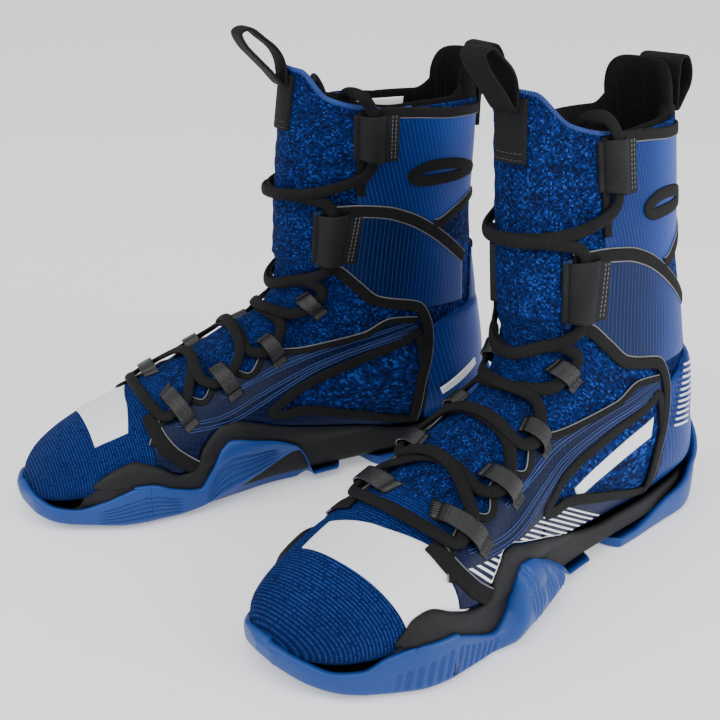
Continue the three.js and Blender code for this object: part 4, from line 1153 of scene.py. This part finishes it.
def lace_loops(boot, side):
    """Four short tape tubes a side, each with two stitched tack tails."""
    tacks = Pile()
    for index, ((u, z), (du, dz)) in enumerate(zip(LOOPS, EDGE_RUN)):

        def corner(along, across):
            run, out = along * LOOP_LENGTH / 2, across * LOOP_WIDTH / 2
            return u + (du * run - dz * out), z + (dz * run + du * out)

        def piece(low, high):
            return [corner(-1, low), corner(-1, high), corner(1, high), corner(1, low)]

        pile = Pile()
        arch(pile, boot, side, piece(-1, 1), 26, 12)
        patch(pile, boot, side, piece(-1.55, -0.9), 12, 12, 0.4, 2.0)
        patch(pile, boot, side, piece(0.9, 1.15), 5, 12, -0.4, 1.7)
        name = f"lace_loop_{SIDES[side]}_{index + 1}"
        pile.make(boot.name(name + "_tape"), boot, LOOKS["loop_tape"], [boot.name(name)], "sleeve_tape")
        for across in (-1.4, -1.15):
            q, phi = side_line(side, [corner(-0.85, across), corner(0.85, across)], 24)
            stitches(tacks, boot, q, phi, 2.05, 1.9, 1.3)
    tacks.make(boot.name(f"loop_tacks_{SIDES[side]}"), boot, LOOKS["dark_thread"], slot="sleeve_tape")


# ------------------------------------------------------------------ shoelace
ON_FILM = 5.3  # height of the lace's centre over the skin where it lies on film
LACE_WAY = [
    # side (0 in the middle), u, z, height over the skin
    (1, 103, 194, -12), (1, 101, 208, -11), (1, 99.5, 219.5, -4.5), (1, 93, 220, 4.5),
    (1, 88, 213, ON_FILM + 1),
    (1, 86.5, 205, ON_FILM + 0.6), (1, 86.5, 190, ON_FILM + 0.6), (1, 89, 178, ON_FILM),
    (1, 108, 170, 5.2), (0, 0, 166, 4.4), (-1, 120, 165, 4), (-1, 109, 161, ON_FILM),
    (-1, 107, 150, ON_FILM + 0.6), (-1, 109, 132, ON_FILM + 0.6), (-1, 112, 122, ON_FILM),
    (-1, 124, 117, 3.6), (0, 0, 113, 3), (1, 120, 117, 3.8), (1, 113, 112, ON_FILM),
    (1, 119, 103, ON_FILM + 0.8), (1, 124.5, 98.5, ON_FILM), (1, 131, 97, 4), (0, 0, 98, 3), (-1, 136, 92, 4),
    (-1, 140, 84, ON_FILM + 0.5), (-1, 148, 78.5, ON_FILM + 0.5), (-1, 156, 79, 4), (0, 0, 84, 3),
    (1, 161, 79, 4), (1, 168.5, 70.5, ON_FILM + 0.5), (1, 177, 65.5, ON_FILM + 0.5),
    (1, 184, 66, 4), (0, 0, 71, 3), (-1, 190, 65, 4), (-1, 196, 57.5, ON_FILM + 0.5),
    (-1, 203, 53.4, ON_FILM + 0.6), (-1, 208, 51.5, ON_FILM), (-1, 213, 55, 4.4),
]
FRONT_LINE = curve([(62, 202), (71, 183), (84, 158), (98, 141), (113, 133), (130, 131), (166, 129)])


def lace_station(side, u, z):
    if side:
        q, phi = from_side(u, z)
        return float(q), side * float(phi)
    if z >= PIVOT_Z:
        return shaft_at(z), 0.0
    u = float(FRONT_LINE(z))
    return (foot_at(u) if u >= PIVOT_U else math.atan2(PIVOT_Z - z, PIVOT_U - u) / (math.pi / 2) * 100), 0.0


def shoelace(boot):
    """One flat-oval lace from inside one cuff, crossing down to the toe and back up the other side."""
    back = [(-s, u, z, h + (4 if s == 0 else 0)) for s, u, z, h in LACE_WAY]
    back = [(s, u, z, h + (1.2 if 2 < h < ON_FILM - 0.2 else 0)) for s, u, z, h in back][::-1]
    way = np.array([(*lace_station(s, u, z), h) for s, u, z, h in LACE_WAY + back])
    way[:, 2] = np.where(way[:, 2] > 0, 0.75 * way[:, 2] - 0.3, way[:, 2])
    line = path(way * (1 / 20, 2, 1 / 20), 1500)
    p, n = boot.skin(line[:, 0] * 20, line[:, 1] / 2, line[:, 2] * 20)
    across, up = mesh_frame(p, n)
    Pile().tube(p, across, up, round_section(6.2, 2.9, 14)).make(
        boot.name("lace"), boot, LOOKS["lace"], [boot.name("shoelace")], "lace"
    )


# ------------------------------------------------------------------ pull loops
FRONT_LOOP = [(3, -8), (11, 0), (17.5, 6.5), (23.5, 13), (26, 19), (21, 21), (13.5, 16), (6.5, 10), (3, 3)]
HEEL_LOOP = [(-3.6, -4), (-9, 2.5), (-12.6, 8), (-12.8, 15), (-8, 22.5), (-2.6, 21.5), (-1.7, 14), (-2.3, 6)]


def strap_section(width, thick):
    """A strap's flat section with rolled edges."""
    a = np.linspace(0, 2 * math.pi, 28, endpoint=False)
    return np.stack([signed_power(np.cos(a), 0.25) * width / 2, signed_power(np.sin(a), 0.6) * thick / 2], -1)


STRAP_THICK = 1.9
STRAP_RADIUS = 31  # the shaft's radius under the sewn ends


def pull_loop(boot, word, station, phi, outline, width):
    """A closed strap that follows a side-view outline from its seam."""
    anchor, _ = boot.skin([station], [phi], [0.0])
    line = path(outline, 150, closed=True)
    centre = np.stack([0 * line[:, 0], line[:, 0], line[:, 1]], -1) + anchor[0]
    run = np.roll(centre, -1, 0) - np.roll(centre, 1, 0)
    run /= np.linalg.norm(run, axis=1, keepdims=True)
    across = np.broadcast_to((1.0, 0.0, 0.0), run.shape)
    up = np.cross(across, run)
    pile = Pile().tube(centre, across, up, strap_section(width, STRAP_THICK), closed=True)
    pile.make(boot.name(word + "_strap"), boot, LOOKS["webbing"], [boot.name(word)], "webbing",
              body=boot.name(word.replace("_pull", "")))


def strap_patch(boot, word, phi_middle, half_width, z_low, z_high, lift):
    """The sewn end of a pull strap: a flat rectangle on the skin with two rows of stitches."""
    z = np.linspace(z_low, z_high, 40)[:, None]
    x = np.linspace(-1, 1, 24)[None, :]
    q = shaft_at(z) + 0 * x
    phi = phi_middle + x * half_width / STRAP_RADIUS + 0 * z
    rim = np.minimum(1 - np.abs(x), 0.08) / 0.08 * (0 * z + 1)
    outer, _ = boot.skin(q, phi, lift + 1.2 * rim**0.5)
    inner, _ = boot.skin(q, phi, lift - 0.8)
    uv = np.stack([phi * 3.1, z / 10 + 0 * x], -1)
    Pile().sheet(outer, inner, uv).make(boot.name(word), boot, LOOKS["webbing"], slot="webbing")
    seam = Pile()
    inset = half_width / STRAP_RADIUS * 0.86
    phis = np.linspace(phi_middle - inset, phi_middle + inset, 40)
    for row in (1.5, 4.5):
        stitches(seam, boot, np.full(40, shaft_at(z_low + row)), phis, lift + 1.25, 2.3, 1.6)
    seam.make(boot.name(word + "_stitching"), boot, LOOKS["dark_thread"], slot="webbing")


def size_label(boot):
    """A blank white label inside the collar."""
    z = np.linspace(203, 215, 12)[:, None]
    phi = np.linspace(1.15, 1.6, 20)[None, :]
    outer, _ = boot.skin(shaft_at(z) + 0 * phi, -phi + 0 * z, -8.3)
    inner, _ = boot.skin(shaft_at(z) + 0 * phi, -phi + 0 * z, -7.9)
    uv = np.stack([phi * 3 + 0 * z, z / 10 + 0 * phi], -1)
    Pile().sheet(outer, inner, uv).make(boot.name("blank_label"), boot, LOOKS["white_print"], slot="padding")


# ------------------------------------------------------------------ soles
RING = 64.0
HEEL_END, TOE_END = 4.0, 283.0
WALL_LEVEL, TOE_LEVEL = 24.0, 17.0
MIDSOLE_BASE, MIDSOLE_FLOOR, OUTSOLE_FLOOR = 6.6, 9.4, 5.4
MIDSOLE_IN, MIDSOLE_OUT, OUTSOLE_IN, OUTSOLE_OUT = 0.4, 3.6, 3.4, 6.4
TOE_DRAW = 3.3  # the sole walls draw in this far towards the sock at the toe


def ring_place(k):
    turn = k / RING * 2 * math.pi
    return lerp(HEEL_END, TOE_END, (1 - np.cos(turn)) / 2), np.where(turn <= math.pi, 1, -1)


def outline(boot, k, z):
    """The sock's outline at a height, by ring position: from the heel's middle round by the outer side."""
    turn = k / RING * 2 * math.pi
    share = (1 - np.cos(turn)) / 2
    level = np.maximum(z, lerp(WALL_LEVEL, TOE_LEVEL, smooth(0.8, 1, share)))
    toe = np.where(level < WALL_LEVEL, TOE_LINE(level), TOE_END)
    u = np.clip(lerp(HEEL_END, toe, share), BACK_LINE(level) + 0.05, TOE_LINE(level) - 0.05)
    q, phi = from_side(u, level)
    return surface(q, np.where(np.sin(turn) < 0, -phi, phi), boot.slouch)[..., :2]


def wall(boot, k, z, out):
    """A point at a distance out from the outline, square to it in plan."""
    here = outline(boot, k, z)
    run = outline(boot, k + 0.6, z) - outline(boot, k - 0.6, z)
    run /= np.maximum(np.linalg.norm(run, axis=-1, keepdims=True), 1e-9)
    z = np.broadcast_to(z, here.shape[:-1])
    return np.stack([here[..., 0] + run[..., 1] * out, here[..., 1] - run[..., 0] * out, z], -1)


def towards_spine(p, share):
    spine = np.stack([np.full(p.shape[:-1], 1.0), np.clip(p[..., 1], 45, 240), p[..., 2]], -1)
    return lerp(p, spine, share)


def edge_height(tops, k):
    u, side = ring_place(k)
    return np.where(side > 0, tops[1](u), tops[-1](u))


def sole(boot, word, look, slot, rings, cuts, nodes):
    """Closed body from rings that start and end at the spine, with its groove depths kept."""
    p = np.stack(rings)
    run = np.concatenate([[0], np.cumsum(np.linalg.norm(np.diff(p[2], axis=0), axis=1))]) / 10
    run = np.append(run, run[-1])
    uv = np.stack(np.broadcast_arrays(run[None, :], np.arange(len(rings))[:, None] * 0.1), -1)
    piece = Pile().grid(p, uv, wrap=True).make(boot.name(word), boot, LOOKS[look], nodes, slot)
    if len(piece.data.vertices) == p.shape[0] * p.shape[1]:
        add_attribute(piece, "groove", np.stack(cuts).ravel())
    else:
        print(word, "lost points", len(piece.data.vertices), p.shape)


def pulse(place, pitch, width):
    """1 inside cuts of a width at a pitch, 0 between them, with soft sides."""
    off = np.abs((place / pitch) % 1 - 0.5) * pitch
    return smooth(width * 0.75, width * 0.3, off)


def tread_cuts(k, t):
    """Depth share of the cuts in the outsole's wall: a comb by the forefoot, slanted leaf groups
    on the outer wing, and long grooves that follow the inner wing's edge."""
    u, side = ring_place(k)
    comb = pulse(u + 3 * t, 4.0, 1.6) * smooth(196, 202, u) * smooth(258, 250, u)
    comb = comb * smooth(0.12, 0.2, t) * smooth(0.86, 0.7, t + 0.2 * smooth(225, 250, u))
    leaf = np.zeros(np.broadcast(u, t).shape)
    for middle in (149.0, 163.0, 177.0):
        lean = u - middle - 9 * (t - 0.5)
        inside = smooth(6.0, 4.6, np.abs(lean) + 6.0 * np.abs(t - 0.5))
        leaf = np.maximum(leaf, pulse(lean, 3.2, 1.5) * inside)
    lines = np.maximum.reduce([smooth(0.045, 0.015, np.abs(t - v)) for v in (0.2, 0.32, 0.44, 0.56, 0.68)])
    wing, forefoot = smooth(146, 154, u) * smooth(196, 188, u), smooth(206, 212, u) * smooth(256, 246, u)
    lines = lines * np.maximum(wing, forefoot)
    return np.where(side > 0, np.maximum(comb, leaf), lines)


def outsole(boot):
    """Rubber cup: floor, rolled lower edge, cut wall up to a shaped rim, and back down inside."""
    k = np.linspace(0, RING, 1300, endpoint=False)
    u, side = ring_place(k)
    top = edge_height(OUTSOLE_TOP, k)
    heel = 3.4 * smooth(60, 20, u)
    waist = smooth(82, 94, u) * smooth(112, 100, u)
    low = np.minimum(edge_height(OUTSOLE_LOW, k), top - 1.5)
    toe = TOE_DRAW * smooth(240, 262, u)
    flare = 7.5 * smooth(132, 150, u) * smooth(202, 184, u) * (side > 0)
    reach = lambda out: lerp(out + heel - toe, -11.0, waist)
    arch_lift = 4.4 * smooth(84, 98, u) * smooth(142, 126, u)
    roll = curve([(0, -3.6), (0.06, -1.6), (0.16, -0.4), (0.35, 0), (0.7, 0.2), (0.9, 0), (0.97, -0.4),
                  (1, -1.0)])
    under = reach(OUTSOLE_OUT - 8)
    rings = [towards_spine(wall(boot, k, arch_lift, 0 * k), 0.6),
             wall(boot, k, np.maximum(arch_lift, 0.25 * np.minimum(low, 8)), under)]
    cuts = [0 * k, 0 * k]
    for t in np.linspace(0, 1, 44):
        cut = tread_cuts(k, t)
        bulge = flare * np.sin(math.pi * min(1, 0.15 + 0.85 * t)) ** 0.8
        rings.append(wall(boot, k, lerp(low, top, t), reach(OUTSOLE_OUT + bulge + roll(t) - 1.1 * cut)))
        cuts.append(cut)
    inside = np.maximum(low + 0.4, OUTSOLE_FLOOR)
    for z in (top - 0.2, np.minimum(top - 0.6, np.maximum(15, inside)), np.minimum(inside, top - 0.8)):
        rings.append(wall(boot, k, z, reach(OUTSOLE_IN)))
        cuts.append(0 * k)
    rings.append(towards_spine(wall(boot, k, 0 * k + OUTSOLE_FLOOR, 0 * k), 0.6))
    cuts.append(0 * k)
    sole(boot, "outsole_cup", "rubber", "rubber", rings, cuts, [boot.name("outsole")])


def midsole(boot):
    """Black foam carrier: a wall that rises in points at the ball and toe, on a closed floor."""
    k = np.linspace(0, RING, 900, endpoint=False)
    top = edge_height(MIDSOLE_TOP, k)
    base = 0 * k + MIDSOLE_BASE
    draw = (TOE_DRAW + 1.2) * smooth(244, 260, ring_place(k)[0])
    rings = [towards_spine(wall(boot, k, base, 0 * k), 0.6), wall(boot, k, base, MIDSOLE_IN - draw)]
    roll = curve([(0, -0.8), (0.12, 0), (0.5, 0.15), (0.86, -0.1), (0.95, -0.7), (1, -1.7)])
    for t in np.linspace(0, 1, 22):
        rings.append(wall(boot, k, lerp(base + 2, top, t), MIDSOLE_OUT + roll(t) - draw))
    rings.append(wall(boot, k, top - 0.3, MIDSOLE_IN - draw))
    rings.append(wall(boot, k, np.minimum(top - 1, WALL_LEVEL - 2), MIDSOLE_IN - draw))
    floor = 0 * k + MIDSOLE_FLOOR
    rings.append(wall(boot, k, floor, 0 * k - 9))
    rings.append(towards_spine(wall(boot, k, floor, 0 * k), 0.6))
    sole(boot, "midsole_foam", "foam", "foam", rings, [0 * k] * len(rings), [boot.name("midsole")])


FOOTBED_START = 160 / 3  # station round the heel


def insole(boot):
    """A thin cushioned footbed with a rolled edge inside the sock."""
    s, t = np.meshgrid(np.linspace(-1, 1, 40), np.linspace(0, 1, 120))
    q = lerp(FOOTBED_START, foot_at(252), t)
    edge = np.minimum(np.minimum(1 - np.abs(s), np.minimum(t, 1 - t) * 4), 0.12) / 0.12
    outer, _ = boot.skin(q, math.pi + s * 0.62, -3.8 + 0 * s)
    inner, _ = boot.skin(q, math.pi + s * 0.62, -4.6 - 2.6 * edge**0.5)
    uv = np.stack([s * 4, t * 22], -1)
    Pile().sheet(inner, outer, uv).make(
        boot.name("footbed"), boot, LOOKS["padding"], [boot.name("insole")], "foam"
    )


# ------------------------------------------------------------------ the pair
def make_boot(word):
    boot = Boot(word)
    outsole(boot)
    midsole(boot)
    knit_upper(boot)
    knit_rim(boot)
    insole(boot)
    collar(boot)
    heel_tab(boot)
    heel_panel(boot)
    heel_binding(boot)
    for side in SIDES:
        film_panels(boot, side)
        bindings(boot, side)
        cables(boot, side)
        prints(boot, side)
        sleeves(boot, side)
        lace_loops(boot, side)
    shoelace(boot)
    pull_loop(boot, "front_pull_loop", shaft_at(232), 0.0, FRONT_LOOP, 15)
    pull_loop(boot, "heel_pull_loop", shaft_at(216), math.pi, HEEL_LOOP, 26)
    strap_patch(boot, "front_strap_patch", 0.0, 8.2, 200, 229, 0.6)
    strap_patch(boot, "heel_strap_patch", math.pi, 13, 195, 215, 1.2)
    if word == "right":
        size_label(boot)


for word in ("left", "right"):
    make_boot(word)


# ------------------------------------------------------------------ floor and light
FLOOR_HALF = 6.0  # m


def floor():
    """A wide pale floor with a faint grain."""
    mesh = bpy.data.meshes.new("floor")
    corners = [(x * FLOOR_HALF, y * FLOOR_HALF, 0) for x, y in ((-1, -1), (1, -1), (1, 1), (-1, 1))]
    mesh.from_pydata(corners, [], [(0, 1, 2, 3)])
    piece = bpy.data.objects.new("floor", mesh)
    bpy.context.scene.collection.objects.link(piece)

    def build(n, uv):
        wear = n.pattern("handling", Broad=2.0, Fine=300.0)
        colour = n.mix(n.math("MULTIPLY", wear["Broad"], 0.3), (0.90, 0.90, 0.91), (0.86, 0.87, 0.88))
        return colour, n.ramp(wear["Fine"], 0.3, 0.7, 0.5, 0.6), wear["Fine"], 0.00001

    material = finish_material("studio floor", build, Emission_Strength=0.32, Emission_Color=(1.0,) * 4)
    mesh.materials.append(material)


def area_light(name, at, aim, size, power):
    data = bpy.data.lights.new(name, "AREA")
    data.size, data.energy = size, power
    light = bpy.data.objects.new(name, data)
    bpy.context.scene.collection.objects.link(light)
    forward = (np.array(aim) - at) / np.linalg.norm(np.array(aim) - at)
    right = np.cross(forward, (0, 0, 1.0))
    right /= np.linalg.norm(right)
    matrix = np.eye(4)
    matrix[:3, 0], matrix[:3, 1], matrix[:3, 2], matrix[:3, 3] = right, np.cross(right, forward), -forward, at
    light.matrix_world = Matrix(matrix.tolist())


def sky_light(name, at, spread, power):
    """A sun with a wide soft disc, shining from a point towards the pair."""
    data = bpy.data.lights.new(name, "SUN")
    data.angle, data.energy = math.radians(spread), power
    light = bpy.data.objects.new(name, data)
    bpy.context.scene.collection.objects.link(light)
    light.rotation_euler = Vector(at).to_track_quat("Z", "Y").to_euler()


floor()
sky_light("overhead", (0.35, -0.45, 1.0), 70, 2.2)
area_light("side", (1.2, 0.55, 0.55), (0.05, 0.1, 0.1), 0.7, 12)
area_light("toe", (-0.5, -1.2, 0.9), (0, -0.1, 0.03), 0.8, 7)
world = bpy.data.worlds.new("studio")
bpy.context.scene.world = world
world.use_nodes = True
world.node_tree.nodes["Background"].inputs["Color"].default_value = (0.96, 0.97, 1.0, 1)
world.node_tree.nodes["Background"].inputs["Strength"].default_value = 0.55
